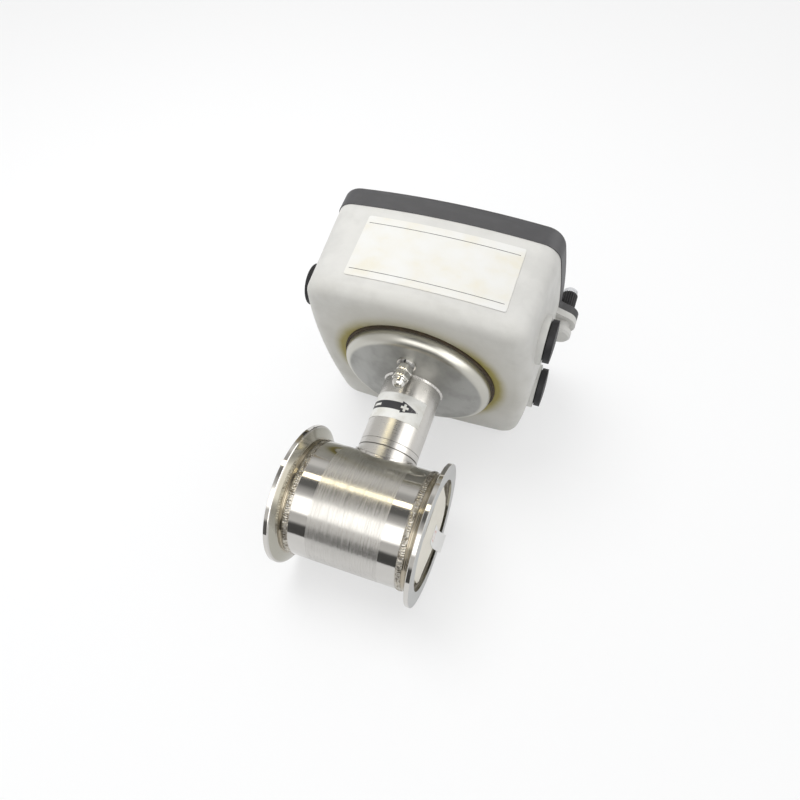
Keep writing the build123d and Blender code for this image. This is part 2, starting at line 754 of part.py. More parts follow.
def closure_posts(z, diameter):
    """Sketch of the round posts under the tabs on both short sides, run into the wall."""
    with BuildSketch(Plane.XY.offset(z)) as posts:
        with Locations((-CLOSURE_X, 0), (CLOSURE_X, 0)):
            Circle(diameter / 2)
        Rectangle(2 * CLOSURE_X, diameter)
    return posts.sketch


def terminal_box():
    """Moulded box: drafted bowed walls, entry pads, closure lugs, tongue and board standoffs."""
    hole_x = BOARD_WIDTH - 2 * BOARD_HOLE_INSET
    hole_y = BOARD_DEPTH - 2 * BOARD_HOLE_INSET
    with BuildPart() as housing:
        loft([box_outline(BOX_BOTTOM), box_outline(SEAM_Z)], ruled=True)
        fillet(housing.edges().group_by(Axis.Z)[0], BOX_EDGE_RADIUS)
        for side in (-1, 1):
            with BuildSketch(Plane.YZ.offset(side * PAD_X)):
                with Locations((-ENTRY_Y, ENTRY_Z), (ENTRY_Y, ENTRY_Z)):
                    Circle(PAD_D / 2)
            extrude(amount=-side * PAD_D / 2)
            extrude(closure_tab(side, LUG_BOTTOM), amount=LUG_HEIGHT)
        extrude(closure_posts(POST_BOTTOM, POST_D), amount=POST_HEIGHT)
        foot_edge = [
            closure_posts(FOOT_BOTTOM, FOOT_D - 2 * FOOT_EDGE),
            closure_posts(FOOT_BOTTOM + FOOT_EDGE, FOOT_D),
        ]
        loft(foot_edge, ruled=True)
        extrude(closure_posts(FOOT_BOTTOM + FOOT_EDGE, FOOT_D), amount=FOOT_HEIGHT - FOOT_EDGE)
        inner_walls = [box_outline(BASE_TOP, BOX_WALL), box_outline(SEAM_Z, BOX_WALL)]
        loft(inner_walls, ruled=True, mode=Mode.SUBTRACT)
        extrude(seam_band(SEAM_Z, TONGUE_INSET, BOX_WALL), amount=TONGUE_HEIGHT)
        with BuildSketch(Plane.XY.offset(BASE_TOP)):
            with GridLocations(hole_x, hole_y, 2, 2):
                Circle(STANDOFF_D / 2)
        extrude(amount=BOARD_LIFT)
        with BuildSketch(Plane.XY.offset(BOARD_Z)):
            with GridLocations(hole_x, hole_y, 2, 2):
                Circle(BOARD_SCREW_D / 2)
        extrude(amount=-BOARD_SCREW_BITE, mode=Mode.SUBTRACT)
        with BuildSketch(Plane.XY.offset(BOX_BOTTOM)):
            Circle(BASE_HOLE_D / 2)
            with PolarLocations(SCREW_CIRCLE_D / 2, SCREW_COUNT, 180 / SCREW_COUNT):
                Circle(SCREW_D / 2)
        extrude(amount=BOX_BASE, mode=Mode.SUBTRACT)
        with BuildSketch(Plane.YZ.offset(-CLOSURE_X)):
            with Locations((-ENTRY_Y, ENTRY_Z), (ENTRY_Y, ENTRY_Z)):
                Circle(ENTRY_D / 2)
        extrude(amount=2 * CLOSURE_X, mode=Mode.SUBTRACT)
        with BuildSketch(Plane.XY.offset(SEAM_Z)):
            with Locations((-CLOSURE_X, 0), (CLOSURE_X, 0)):
                Circle(CLOSURE_SCREW_D / 2)
        extrude(amount=CLOSURE_HOLE_END - SEAM_Z, mode=Mode.SUBTRACT)
    save(housing, "terminal_box")


def lid():
    """Dark lid: rounded top, channel for the seal over the tongue, ears and inner ribs."""
    channel_outer = TONGUE_INSET - CHANNEL_CLEARANCE
    channel_inner = BOX_WALL + CHANNEL_CLEARANCE
    with BuildPart() as cover:
        extrude(box_outline(SEAM_Z, -LID_OVERHANG), amount=LID_HEIGHT)
        fillet(cover.edges().group_by(Axis.Z)[-1], LID_TOP_RADIUS)
        for side in (-1, 1):
            extrude(closure_tab(side, SEAM_Z), amount=EAR_HEIGHT - TAB_EDGE)
            loft([closure_tab(side, EAR_TOP - TAB_EDGE), closure_tab(side, EAR_TOP, TAB_EDGE)], ruled=True)
        extrude(box_outline(SEAM_Z, LID_WALL), amount=LID_HEIGHT - LID_ROOF, mode=Mode.SUBTRACT)
        channel = seam_band(SEAM_Z, channel_outer, channel_inner)
        extrude(channel, amount=TONGUE_HEIGHT + LID_GASKET_T, mode=Mode.SUBTRACT)
        with BuildSketch(Plane.XY.offset(LID_TOP - LID_ROOF)):
            with GridLocations(LID_RIB_SPACING, 0, LID_RIB_COUNT, 1):
                Rectangle(LID_RIB_THICKNESS, 2 * (BOX_HALF_DEPTH - FRONT_BOW - LID_WALL))
        extrude(amount=-LID_RIB_DEPTH)
        with BuildSketch(Plane.XY.offset(SEAM_Z)):
            with Locations((-CLOSURE_X, 0), (CLOSURE_X, 0)):
                Circle(CLOSURE_SCREW_D / 2 + HOLE_CLEARANCE)
        extrude(amount=EAR_HEIGHT, mode=Mode.SUBTRACT)
        with BuildSketch(Plane.XY.offset(EAR_TOP)):
            with Locations((-CLOSURE_X, 0), (CLOSURE_X, 0)):
                Circle(KNOB_D / 2 + KNOB_LID_GAP)
        extrude(amount=LID_HEIGHT - EAR_HEIGHT, mode=Mode.SUBTRACT)
    save(cover, "lid")

    with BuildPart() as lid_gasket:
        extrude(seam_band(SEAM_Z + TONGUE_HEIGHT, TONGUE_INSET, BOX_WALL), amount=LID_GASKET_T)
    save(lid_gasket, "lid_gasket")


def closure(side, label):
    """Ribbed knob on a screw that goes through the lid's ear into the box's post."""
    with BuildPart() as knob:
        with BuildSketch(Plane.XY.offset(EAR_TOP)):
            with Locations((side * CLOSURE_X, 0)):
                Circle(KNOB_D / 2)
                with PolarLocations(KNOB_D / 2, KNOB_FLUTES):
                    Rectangle(KNOB_FLUTE, KNOB_FLUTE, rotation=45, mode=Mode.SUBTRACT)
                Circle(CLOSURE_SCREW_D / 2, mode=Mode.SUBTRACT)
        extrude(amount=KNOB_HEIGHT)
    save(knob, f"{label}_closure_knob")

    with BuildPart() as screw:
        with BuildSketch(Plane.XY.offset(CLOSURE_SCREW_END)):
            with Locations((side * CLOSURE_X, 0)):
                Circle(CLOSURE_SCREW_D / 2)
        extrude(amount=KNOB_TOP - CLOSURE_SCREW_END)
        with BuildSketch(Plane.XY.offset(KNOB_TOP)):
            with Locations((side * CLOSURE_X, 0)):
                Circle(CLOSURE_TIP_D / 2)
        extrude(amount=CLOSURE_TIP_HEIGHT)
        chamfer(screw.faces().sort_by(Axis.Z)[-1].edges(), CLOSURE_TIP_EDGE)
        with BuildSketch(Plane.XY.offset(KNOB_TOP + CLOSURE_TIP_HEIGHT)):
            with Locations((side * CLOSURE_X, 0)):
                Rectangle(CLOSURE_TIP_D, CLOSURE_TIP_EDGE)
        extrude(amount=-CLOSURE_TIP_EDGE, mode=Mode.SUBTRACT)
    save(screw, f"{label}_closure_screw")


def blanking_plug(side, row, label):
    """Domed plug screwed into a cable entry, on a flat seal."""
    y = row * ENTRY_Y
    seat = PAD_X + PLUG_SEAL_T
    head_r = PLUG_HEAD_D / 2
    rim_x = seat + PLUG_HEAD_HEIGHT - PLUG_DOME
    dome_radius = (head_r**2 + PLUG_DOME**2) / (2 * PLUG_DOME)
    with BuildPart() as plug:
        with BuildSketch(Plane.XY.offset(ENTRY_Z)):
            with BuildLine():
                Polyline((side * rim_x, y + head_r), (side * seat, y + head_r), (side * seat, y))
                Line((side * seat, y), (side * (rim_x + PLUG_DOME), y))
                RadiusArc(
                    (side * rim_x, y + head_r), (side * (rim_x + PLUG_DOME), y), side * dome_radius
                )
            make_face()
        revolve(axis=Axis((0, y, ENTRY_Z), (1, 0, 0)))
        with BuildSketch(Plane.YZ.offset(side * seat)):
            with Locations((y, ENTRY_Z)):
                Circle(ENTRY_D / 2 - PLUG_CLEARANCE)
        extrude(amount=-side * (PLUG_SHANK_LENGTH + PLUG_SEAL_T))
        with BuildSketch(Plane.YZ.offset(side * seat)):
            with Locations((y, ENTRY_Z)):
                Circle(ENTRY_D / 2 - PLUG_CLEARANCE - PLUG_WALL)
        extrude(amount=-side * (PLUG_SHANK_LENGTH + PLUG_SEAL_T), mode=Mode.SUBTRACT)
    save(plug, f"{label}_blanking_plug")

    with BuildPart() as seal:
        with BuildSketch(Plane.YZ.offset(side * PAD_X)):
            with Locations((y, ENTRY_Z)):
                Circle(PLUG_SEAL_D / 2)
                Circle(ENTRY_D / 2, mode=Mode.SUBTRACT)
        extrude(amount=side * PLUG_SEAL_T)
    save(seal, f"{label}_plug_seal")


def rating_label():
    """Thin label that follows the bowed front wall."""
    with BuildPart() as plate_label:
        back = -LABEL_ADHESIVE_T
        face = back - LABEL_THICKNESS
        loft([box_outline(BOX_BOTTOM, face), box_outline(SEAM_Z, face)], ruled=True)
        loft([box_outline(BOX_BOTTOM, back), box_outline(SEAM_Z, back)], ruled=True, mode=Mode.SUBTRACT)
        with BuildSketch(Plane.XZ):
            with Locations((LABEL_CENTRE_X, LABEL_CENTRE_Z)):
                RectangleRounded(LABEL_WIDTH, LABEL_HEIGHT, LABEL_CORNER)
        extrude(amount=2 * BOX_HALF_DEPTH, mode=Mode.INTERSECT)
    save(plate_label, "rating_label")


# Inside the terminal box


def board():
    """Connection board, its screws, terminal blocks and memory module."""
    hole_x = BOARD_WIDTH - 2 * BOARD_HOLE_INSET
    hole_y = BOARD_DEPTH - 2 * BOARD_HOLE_INSET
    with BuildPart() as connection_board:
        with BuildSketch(Plane.XY.offset(BOARD_Z)):
            RectangleRounded(BOARD_WIDTH, BOARD_DEPTH, LABEL_CORNER)
            with GridLocations(hole_x, hole_y, 2, 2):
                Circle(BOARD_SCREW_D / 2 + HOLE_CLEARANCE, mode=Mode.SUBTRACT)
        extrude(amount=BOARD_THICKNESS)
    save(connection_board, "connection_board")

    with BuildPart() as board_screws:
        with BuildSketch(Plane.XY.offset(BOARD_TOP)):
            with GridLocations(hole_x, hole_y, 2, 2):
                Circle(BOARD_SCREW_HEAD_D / 2)
        extrude(amount=BOARD_SCREW_HEAD_HEIGHT)
        with BuildSketch(Plane.XY.offset(BOARD_TOP)):
            with GridLocations(hole_x, hole_y, 2, 2):
                Circle(BOARD_SCREW_D / 2)
        extrude(amount=-(BOARD_THICKNESS + BOARD_SCREW_BITE))
    save(board_screws, "board_screws")

    for side, name in ((-1, "front_terminal_block"), (1, "rear_terminal_block")):
        with BuildPart() as block:
            with BuildSketch(Plane.XY.offset(BOARD_TOP)):
                with Locations((-BLOCK_PITCH, side * BLOCK_Y)):
                    Rectangle(BLOCK_LENGTH, BLOCK_DEPTH)
            extrude(amount=BLOCK_HEIGHT)
            with BuildSketch(Plane.XY.offset(BOARD_TOP + BLOCK_HEIGHT)):
                with Locations((-BLOCK_PITCH, side * BLOCK_Y)):
                    with GridLocations(BLOCK_PITCH, 0, BLOCK_WAYS, 1):
                        Circle(BLOCK_SCREW_HOLE_D / 2)
            extrude(amount=-BLOCK_HEIGHT / 3, mode=Mode.SUBTRACT)
            wire_face = side * (BLOCK_Y - BLOCK_DEPTH / 2)
            with BuildSketch(Plane.XZ.offset(-wire_face)):
                with Locations((-BLOCK_PITCH, BOARD_TOP + BLOCK_HEIGHT / 3)):
                    with GridLocations(BLOCK_PITCH, 0, BLOCK_WAYS, 1):
                        Rectangle(BLOCK_WIRE_HOLE, BLOCK_WIRE_HOLE)
            extrude(amount=-side * BLOCK_DEPTH / 2, mode=Mode.SUBTRACT)
        save(block, name)

    with BuildPart() as memory_module:
        with BuildSketch(Plane.XY.offset(BOARD_TOP)):
            with Locations((MODULE_X, 0)):
                RectangleRounded(MODULE_SIZE, MODULE_SIZE, LABEL_CORNER)
        extrude(amount=MODULE_HEIGHT)
        fillet(memory_module.edges().group_by(Axis.Z)[-1], LABEL_CORNER / 2)
    save(memory_module, "memory_module")


# Paper on the outlet port


def outlet_paper():
    """Bowed card with a wavy far edge in the recess, and a curled tab stuck on its crown."""
    reach = RECESS_R - CARD_CLEARANCE
    end_x = FLOOR_X
    crown_x = FACE_X - CARD_THICKNESS
    with BuildPart() as port_card:
        with BuildSketch(Plane.XZ.offset(reach)):
            with BuildLine():
                ThreePointArc((end_x, -CARD_HALF_HEIGHT), (crown_x, 0), (end_x, CARD_HALF_HEIGHT))
                ThreePointArc(
                    (end_x + CARD_THICKNESS, -CARD_HALF_HEIGHT),
                    (crown_x + CARD_THICKNESS, 0),
                    (end_x + CARD_THICKNESS, CARD_HALF_HEIGHT),
                )
                Line((end_x, -CARD_HALF_HEIGHT), (end_x + CARD_THICKNESS, -CARD_HALF_HEIGHT))
                Line((end_x, CARD_HALF_HEIGHT), (end_x + CARD_THICKNESS, CARD_HALF_HEIGHT))
            make_face()
        extrude(amount=-2 * reach)
        with BuildSketch(Plane.YZ.offset(FLOOR_X)):
            with BuildLine():
                far_edge = Spline(
                    (CARD_FAR_Y, CARD_HALF_HEIGHT),
                    (CARD_FAR_Y, CARD_HALF_HEIGHT / 3),
                    (CARD_WAIST_Y, -CARD_HALF_HEIGHT / 2),
                    (CARD_FAR_Y, -CARD_HALF_HEIGHT),
                )
                Polyline(
                    far_edge @ 1,
                    (-reach, -CARD_HALF_HEIGHT),
                    (-reach, CARD_HALF_HEIGHT),
                    far_edge @ 0,
                )
            make_face()
            Circle(reach - PORT_GASKET_WIDTH, mode=Mode.INTERSECT)
        extrude(amount=RECESS_DEPTH, mode=Mode.INTERSECT)
    save(port_card, "port_card")

    stuck_end = TAB_START_Y + TAB_STUCK_LENGTH
    outer_x = FACE_X + TAB_THICKNESS
    with BuildPart() as paper_tab:
        with BuildSketch(Plane.XY.offset(-TAB_WIDTH / 2)):
            with BuildLine():
                Polyline(
                    (FACE_X, stuck_end),
                    (FACE_X, TAB_START_Y),
                    (outer_x, TAB_START_Y),
                    (outer_x, stuck_end),
                )
                under = JernArc((FACE_X, stuck_end), (0, 1), TAB_CURL_RADIUS, -TAB_CURL_ANGLE)
                over_radius = TAB_CURL_RADIUS - TAB_THICKNESS
                over = JernArc((outer_x, stuck_end), (0, 1), over_radius, -TAB_CURL_ANGLE)
                Line(under @ 1, over @ 1)
            make_face()
        extrude(amount=TAB_WIDTH)
    save(paper_tab, "paper_tab")


shell()
flange(-1, "inlet_flange")
flange(1, "outlet_flange")
weld_bead(-1, "inlet_weld_bead")
weld_bead(1, "outlet_weld_bead")
port_gasket(-1, "inlet_port_gasket")
port_gasket(1, "outlet_port_gasket")
liner()
electrode(-1, "front_electrode")
electrode(1, "rear_electrode")
yoke()
pole_piece(1, "upper_pole_piece")
pole_piece(-1, "lower_pole_piece")
coil(1, "upper_coil")
coil(-1, "lower_coil")
leads()
neck()
plate()
earth_terminal()
terminal_box()
lid()
closure(-1, "left")
closure(1, "right")
for side_sign, side_name in ((-1, "left"), (1, "right")):
    for row_sign, row_name in ((-1, "front"), (1, "rear")):
        blanking_plug(side_sign, row_sign, f"{row_name}_{side_name}")
rating_label()
board()
outlet_paper()
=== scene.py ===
"""Finishes, welds, printed labels and paper of the electromagnetic flow meter, with its stage.

The file is laid out as an add-on and is run as a script. Lengths are in millimetres, except in
the settings and on the stage, which are in metres as Blender counts them. X is the flow
direction, Z runs up the neck to the terminal box and -Y is the labelled side.
"""

import math

import bpy
import numpy as np
from bpy.props import FloatProperty, FloatVectorProperty, IntProperty, PointerProperty
from mathutils import Matrix, Vector


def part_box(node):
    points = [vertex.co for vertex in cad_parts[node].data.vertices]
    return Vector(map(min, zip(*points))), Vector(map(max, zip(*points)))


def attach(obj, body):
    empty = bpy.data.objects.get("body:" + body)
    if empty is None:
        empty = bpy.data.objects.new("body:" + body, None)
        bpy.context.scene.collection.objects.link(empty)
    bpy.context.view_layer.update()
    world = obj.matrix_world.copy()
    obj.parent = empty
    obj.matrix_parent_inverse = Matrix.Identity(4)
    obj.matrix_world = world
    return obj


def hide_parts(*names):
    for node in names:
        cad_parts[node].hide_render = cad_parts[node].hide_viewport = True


bl_info = {
    "name": "Flow meter finishes",
    "version": (1, 0, 0),
    "blender": (4, 5, 0),
    "location": "3D View > Sidebar > Flow meter",
    "description": "Gives a flow meter its welds, printed labels, paper and finishes",
    "category": "Object",
}

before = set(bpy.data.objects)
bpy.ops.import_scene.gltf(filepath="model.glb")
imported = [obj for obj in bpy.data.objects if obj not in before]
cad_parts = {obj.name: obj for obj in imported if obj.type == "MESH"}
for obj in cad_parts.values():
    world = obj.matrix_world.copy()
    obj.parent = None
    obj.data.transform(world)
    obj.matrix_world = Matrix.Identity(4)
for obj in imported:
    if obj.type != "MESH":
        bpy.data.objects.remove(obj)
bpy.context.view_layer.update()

MM = 0.001
BODY = "root"
FLANGE_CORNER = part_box("outlet_flange")[1]
FACE_X = FLANGE_CORNER.x / MM
RIM_RADIUS = FLANGE_CORNER.y / MM
SHELL_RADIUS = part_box("sensor_shell")[1].y / MM


# Shader arithmetic


class Field:
    """A socket of a node tree. Arithmetic on fields adds Math nodes to the tree."""

    def __init__(self, recipe, socket):
        self.recipe = recipe
        self.socket = socket

    def math(self, operation, *others):
        """Result of a Math node on this field and up to two others."""
        inputs = dict(enumerate((self, *others)))
        made = self.recipe.node("ShaderNodeMath", {"operation": operation}, inputs)
        return Field(self.recipe, made.outputs[0])

    def __add__(self, other):
        return self.math("ADD", other)

    def __sub__(self, other):
        return self.math("SUBTRACT", other)

    def __rsub__(self, other):
        return self.math("MULTIPLY", -1.0).math("ADD", other)

    def __mul__(self, other):
        return self.math("MULTIPLY", other)

    def __truediv__(self, other):
        return self.math("DIVIDE", other)

    def __pow__(self, other):
        return self.math("POWER", other)

    def __abs__(self):
        return self.math("ABSOLUTE")

    __radd__ = __add__
    __rmul__ = __mul__

    def above(self, low, high):
        """0 below low, 1 above high, with a smooth step between."""
        inputs = {"Value": self, "From Min": low, "From Max": high}
        made = self.recipe.node("ShaderNodeMapRange", {"interpolation_type": "SMOOTHSTEP"}, inputs)
        return Field(self.recipe, made.outputs[0])

    def within(self, low, high, edge):
        """1 between low and high, with soft edges that reach outwards by edge."""
        return self.above(low - edge, low) * (1 - self.above(high, high + edge))


class Recipe:
    """A node tree under construction."""

    def __init__(self, tree):
        self.tree = tree
        tree.nodes.clear()

    def node(self, kind, settings=None, inputs=None):
        """Add a node of any type: its settings come first, then each socket's value or link."""
        made = self.tree.nodes.new(kind)
        for key, setting in (settings or {}).items():
            setattr(made, key, setting)
        for key, given in (inputs or {}).items():
            if isinstance(given, Field):
                self.tree.links.new(given.socket, made.inputs[key])
            else:
                made.inputs[key].default_value = given
        return made

    def field(self, kind, settings=None, inputs=None, output=0):
        """One output of a new node."""
        return Field(self, self.node(kind, settings, inputs).outputs[output])

    def scaled(self, vector, factors):
        """Vector with its three parts multiplied by three factors."""
        inputs = {0: vector, 1: factors}
        return self.field("ShaderNodeVectorMath", {"operation": "MULTIPLY"}, inputs)

    def blend(self, base, over, amount):
        """Colour that goes from base to over as amount goes from 0 to 1."""
        inputs = {0: amount, 6: rgba(base), 7: rgba(over)}
        return self.field("ShaderNodeMix", {"data_type": "RGBA"}, inputs, 2)

    def lerp(self, base, over, amount):
        """Number that goes from base to over as amount goes from 0 to 1."""
        return self.field("ShaderNodeMix", {"data_type": "FLOAT"}, {0: amount, 2: base, 3: over})

    def ramp(self, place, stops):
        """Number that follows straight lines between stops of (place, number)."""
        low, high = stops[0][0], stops[-1][0]
        top = max(number for _, number in stops)
        made = self.node("ShaderNodeValToRGB", None, {0: (place - low) / (high - low)})
        marks = made.color_ramp.elements
        marks[0].position = 0.0
        marks[1].position = 1.0
        for stop, _ in stops[1:-1]:
            marks.new((stop - low) / (high - low))
        for mark, (_, number) in zip(marks, stops):
            mark.color = rgba((number / top,) * 3)
        return Field(self, made.outputs[0]) * top


class Finish(Recipe):
    """A material whose patterns are laid out in millimetres on Object coordinates."""

    def __init__(self, name):
        self.material = bpy.data.materials.new(name)
        self.material.use_nodes = True
        super().__init__(self.material.node_tree)
        self.shader = self.node("ShaderNodeBsdfPrincipled")
        inputs = {"Surface": Field(self, self.shader.outputs[0])}
        self.node("ShaderNodeOutputMaterial", None, inputs)
        coords = self.field("ShaderNodeTexCoord", output="Object")
        self.place = self.scaled(coords, (1 / MM, 1 / MM, 1 / MM))
        split = self.node("ShaderNodeSeparateXYZ", None, {0: self.place})
        self.x, self.y, self.z = (Field(self, socket) for socket in split.outputs)

    def noise(self, size, detail=3.0, roughness=0.55, shift=0.0):
        """Noise from 0 to 1 whose blotches are about size across, along X, Y and Z."""
        factors = tuple(1 / s for s in size) if isinstance(size, tuple) else (1 / size,) * 3
        vector = self.scaled(self.place, factors)
        moved = self.field(
            "ShaderNodeVectorMath", {"operation": "ADD"}, {0: vector, 1: (shift, shift, shift)}
        )
        inputs = {"Vector": moved, "Scale": 1.0, "Detail": detail, "Roughness": roughness}
        return self.field("ShaderNodeTexNoise", None, inputs)

    def radius(self, first, second):
        """Distance from the axis that is normal to both coordinates."""
        return (first * first + second * second) ** 0.5

    def bump(self, height, depth, under=None):
        """Normal of a relief: height from 0 to 1 stands for depth in millimetres."""
        inputs = {"Height": height, "Distance": depth * MM, "Strength": 1.0}
        if under is not None:
            inputs["Normal"] = under
        return self.field("ShaderNodeBump", None, inputs)

    def set(self, **inputs):
        """Give the surface its colour, roughness and the rest."""
        for key, given in inputs.items():
            socket = self.shader.inputs[key.replace("_", " ").title()]
            if isinstance(given, Field):
                self.tree.links.new(given.socket, socket)
            else:
                socket.default_value = rgba(given) if key == "base_color" else given
        return self.material


def rgba(colour):
    """Four numbers for a colour of three; a field is passed on as it is."""
    return colour if isinstance(colour, Field) else (*tuple(colour)[:3], 1.0)


def shaded(colour, factor):
    """Colour whose three parts are multiplied by a factor."""
    return tuple(factor * part for part in colour)


# Meshes


def add_mesh(name, points, faces, material, smooth=True):
    """Mesh object at the origin from points in millimetres and faces as rows of indices."""
    mesh = bpy.data.meshes.new(name)
    mesh.from_pydata((points * MM).tolist(), [], [tuple(face) for face in faces])
    mesh.polygons.foreach_set("use_smooth", [smooth] * len(mesh.polygons))
    mesh.materials.append(material)
    mesh.update()
    piece = bpy.data.objects.new(name, mesh)
    bpy.context.scene.collection.objects.link(piece)
    return piece


def grid_faces(rows, columns, wrap_rows):
    """Quads of a grid of points, row by row. Columns close on themselves, and rows do if asked."""
    i = np.arange(rows if wrap_rows else rows - 1)[:, None]
    j = np.arange(columns)[None, :]
    i_next = (i + 1) % rows
    j_next = (j + 1) % columns
    corners = (
        i * columns + j,
        i_next * columns + j,
        i_next * columns + j_next,
        i * columns + j_next,
    )
    return np.stack(corners, -1).reshape(-1, 4)


def stand_in(piece, slot, *nodes):
    """Let a piece ride on the meter in place of CAD nodes, which it hides. The slot is not used."""
    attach(piece, BODY)
    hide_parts(*nodes)


def node_points(node):
    """Points of a CAD node in millimetres, one row each."""
    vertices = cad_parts[node].data.vertices
    points = np.empty(3 * len(vertices))
    vertices.foreach_get("co", points)
    return points.reshape(-1, 3) / MM


def middle(node):
    """Middle of a CAD node's box."""
    low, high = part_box(node)
    return (np.array(low) + np.array(high)) / 2 / MM


def dress(material, *nodes):
    """Give CAD nodes a material."""
    for node in nodes:
        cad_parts[node].material_slots[0].material = material


WELD_DEPTH = 0.6
WELD_COLUMNS = 13
ROWS_PER_RIPPLE = 8


def weld_ring(name, settings, centre_x, material):
    """Girth weld with overlapping ripples.

    A closed profile is carried round the X axis. Across the bead u goes from -1 to 1. The radius
    is the shell's, plus the crown times (1 - u squared), plus the ripple height times a wave that
    fades with (1 - u to the fourth). The wave adds two absolute sines, whose phase runs with the
    angle and lags with u squared, which curves each ripple. Slower waves shift the phase, lift
    lumps and move the edges, so that no two ripples are alike. The floor of the profile lies in
    the shell.
    """
    count = settings.ripples
    rows = count * ROWS_PER_RIPPLE
    angle = np.linspace(0, 2 * np.pi, rows, endpoint=False)[:, None]
    u = np.linspace(-1, 1, WELD_COLUMNS)[None, :]
    wander = 1.2 * np.sin(5 * angle + 1.0) + np.sin(13 * angle) + 0.8 * np.sin(31 * angle + 2 * u)
    phase = count * angle - 2.2 * u**2 + wander
    wave = 0.65 * np.abs(np.sin(phase / 2)) + 0.35 * np.abs(np.sin(phase / 2 + 0.6)) ** 3
    lumps = 0.5 * np.sin(41 * angle + 4 * u) * np.sin(23 * angle + 1.0 - 3 * u)
    ripple = settings.ripple_height / MM * (wave - 0.5 + lumps) * (1 - u**4)
    rise = settings.crown / MM * (1 - u**2) + ripple
    half = settings.width / MM / 2
    edge = half * (1 + 0.06 * np.sin(count * angle + 2) + 0.06 * np.sin(7 * angle))
    top_x = centre_x + u * edge
    top_r = SHELL_RADIUS + rise
    floor_x = centre_x + np.array([[0.8, -0.8]]) * half + 0 * angle
    floor_r = SHELL_RADIUS - WELD_DEPTH + 0 * floor_x
    x = np.concatenate([top_x, floor_x], 1)
    r = np.concatenate([top_r, floor_r], 1)
    points = np.stack([x, -r * np.cos(angle), r * np.sin(angle)], -1).reshape(-1, 3)
    faces = grid_faces(rows, x.shape[1], wrap_rows=True)[:, ::-1]
    return add_mesh(name, points, faces, material)


def reach_along(node, origin, axis):
    """First and last distance of a node's points along an axis, and the point farthest off it."""
    offset = node_points(node) - origin
    along = offset @ axis
    across = offset - along[:, None] * axis
    corner = across[np.linalg.norm(across, axis=1).argmax()]
    return along.min(), along.max(), corner


NUT_SIDES = 96
NUT_EDGE = 0.15
NUT_EDGE_ANGLE = math.radians(25)


def turned_hex(name, origin, axis, corner, levels, material):
    """Nut with chamfered corners round an axis.

    Each level is (distance along the axis, round radius). At every angle the outline is the
    smaller of the round radius and the hexagon, whose distance is half the flats over the cosine
    of the angle from the nearest flat's middle. Angles start at the given corner.
    """
    reach = np.linalg.norm(corner)
    outward = corner / reach
    sideways = np.cross(axis, outward)
    angle = np.linspace(0, 2 * np.pi, NUT_SIDES, endpoint=False)[None, :]
    distance = np.array([level[0] for level in levels])[:, None]
    round_radius = np.array([level[1] for level in levels])[:, None]
    from_flat = angle % (np.pi / 3) - np.pi / 6
    hexagon = reach * math.cos(math.pi / 6) / np.cos(from_flat)
    r = np.minimum(round_radius, hexagon)
    spokes = np.cos(angle)[..., None] * outward + np.sin(angle)[..., None] * sideways
    points = (origin + distance[..., None] * axis + r[..., None] * spokes).reshape(-1, 3)
    rows, columns = r.shape
    faces = grid_faces(rows, columns, wrap_rows=False)[:, ::-1].tolist()
    faces.append(list(range(columns))[::-1])
    faces.append(list(range((rows - 1) * columns, rows * columns)))
    piece = add_mesh(name, points, faces, material)
    bevel = piece.modifiers.new("edges", "BEVEL")
    bevel.width = NUT_EDGE * MM
    bevel.segments = 2
    bevel.angle_limit = NUT_EDGE_ANGLE
    return piece


# Settings


def colour_setting(name, description, default):
    """Property for a colour."""
    return FloatVectorProperty(
        name=name, description=description, subtype="COLOR", size=3, min=0, max=1, default=default
    )


def length_setting(name, description, default):
    """Property for a length, in metres."""
    return FloatProperty(name=name, description=description, unit="LENGTH", default=default)


class SteelSettings(bpy.types.PropertyGroup):
    """Finish of the welded stainless steel pieces."""

    colour: colour_setting("Steel", "Colour of the bare steel", (0.60, 0.585, 0.56))
    heat_tint: colour_setting("Heat tint", "Colour of the steel beside a weld", (0.36, 0.29, 0.20))
    patina: colour_setting("Patina", "Colour of the dull film on the steel", (0.36, 0.35, 0.27))
    band_inner: length_setting(
        "Band start", "Distance from the middle at which a polished band starts", 0.0228
    )
    band_outer: length_setting(
        "Band end", "Distance from the middle at which a polished band ends", 0.0338
    )
    brushed: FloatProperty(
        name="Brushed roughness", description="Roughness of the dull streaks of turned steel",
        min=0, max=1, default=0.46
    )
    polished: FloatProperty(
        name="Polished roughness", description="Roughness of the polished bands", min=0, max=1,
        default=0.07
    )


class WeldSettings(bpy.types.PropertyGroup):
    """Shape and colour of the two girth welds."""

    ripples: IntProperty(
        name="Ripples", description="Number of ripples round one weld", min=20, max=240, default=150
    )
    crown: length_setting("Crown", "Height of the bead over the shell", 0.0004)
    ripple_height: length_setting("Ripple height", "Height of one ripple", 0.00024)
    width: length_setting("Width", "Width of the bead", 0.0038)
    colour: colour_setting("Weld", "Colour of the weld metal", (0.46, 0.43, 0.37))
    scorched: colour_setting(
        "Scorched", "Colour of the dark patches of the weld", (0.19, 0.165, 0.13)
    )


class HousingSettings(bpy.types.PropertyGroup):
    """Colours of the terminal box, its lid and the stain round the plate."""

    box: colour_setting("Box", "Colour of the moulded box", (0.63, 0.625, 0.60))
    lid: colour_setting("Lid", "Colour of the moulded lid", (0.062, 0.062, 0.066))
    stain: colour_setting("Stain", "Colour of the stain round the plate", (0.30, 0.255, 0.07))
    stain_reach: length_setting(
        "Stain reach", "How far the stain spreads beyond the gasket", 0.011
    )
    dark: colour_setting(
        "Dark plastic", "Colour of the plugs, closure knobs and lid ears", (0.007, 0.007, 0.009)
    )


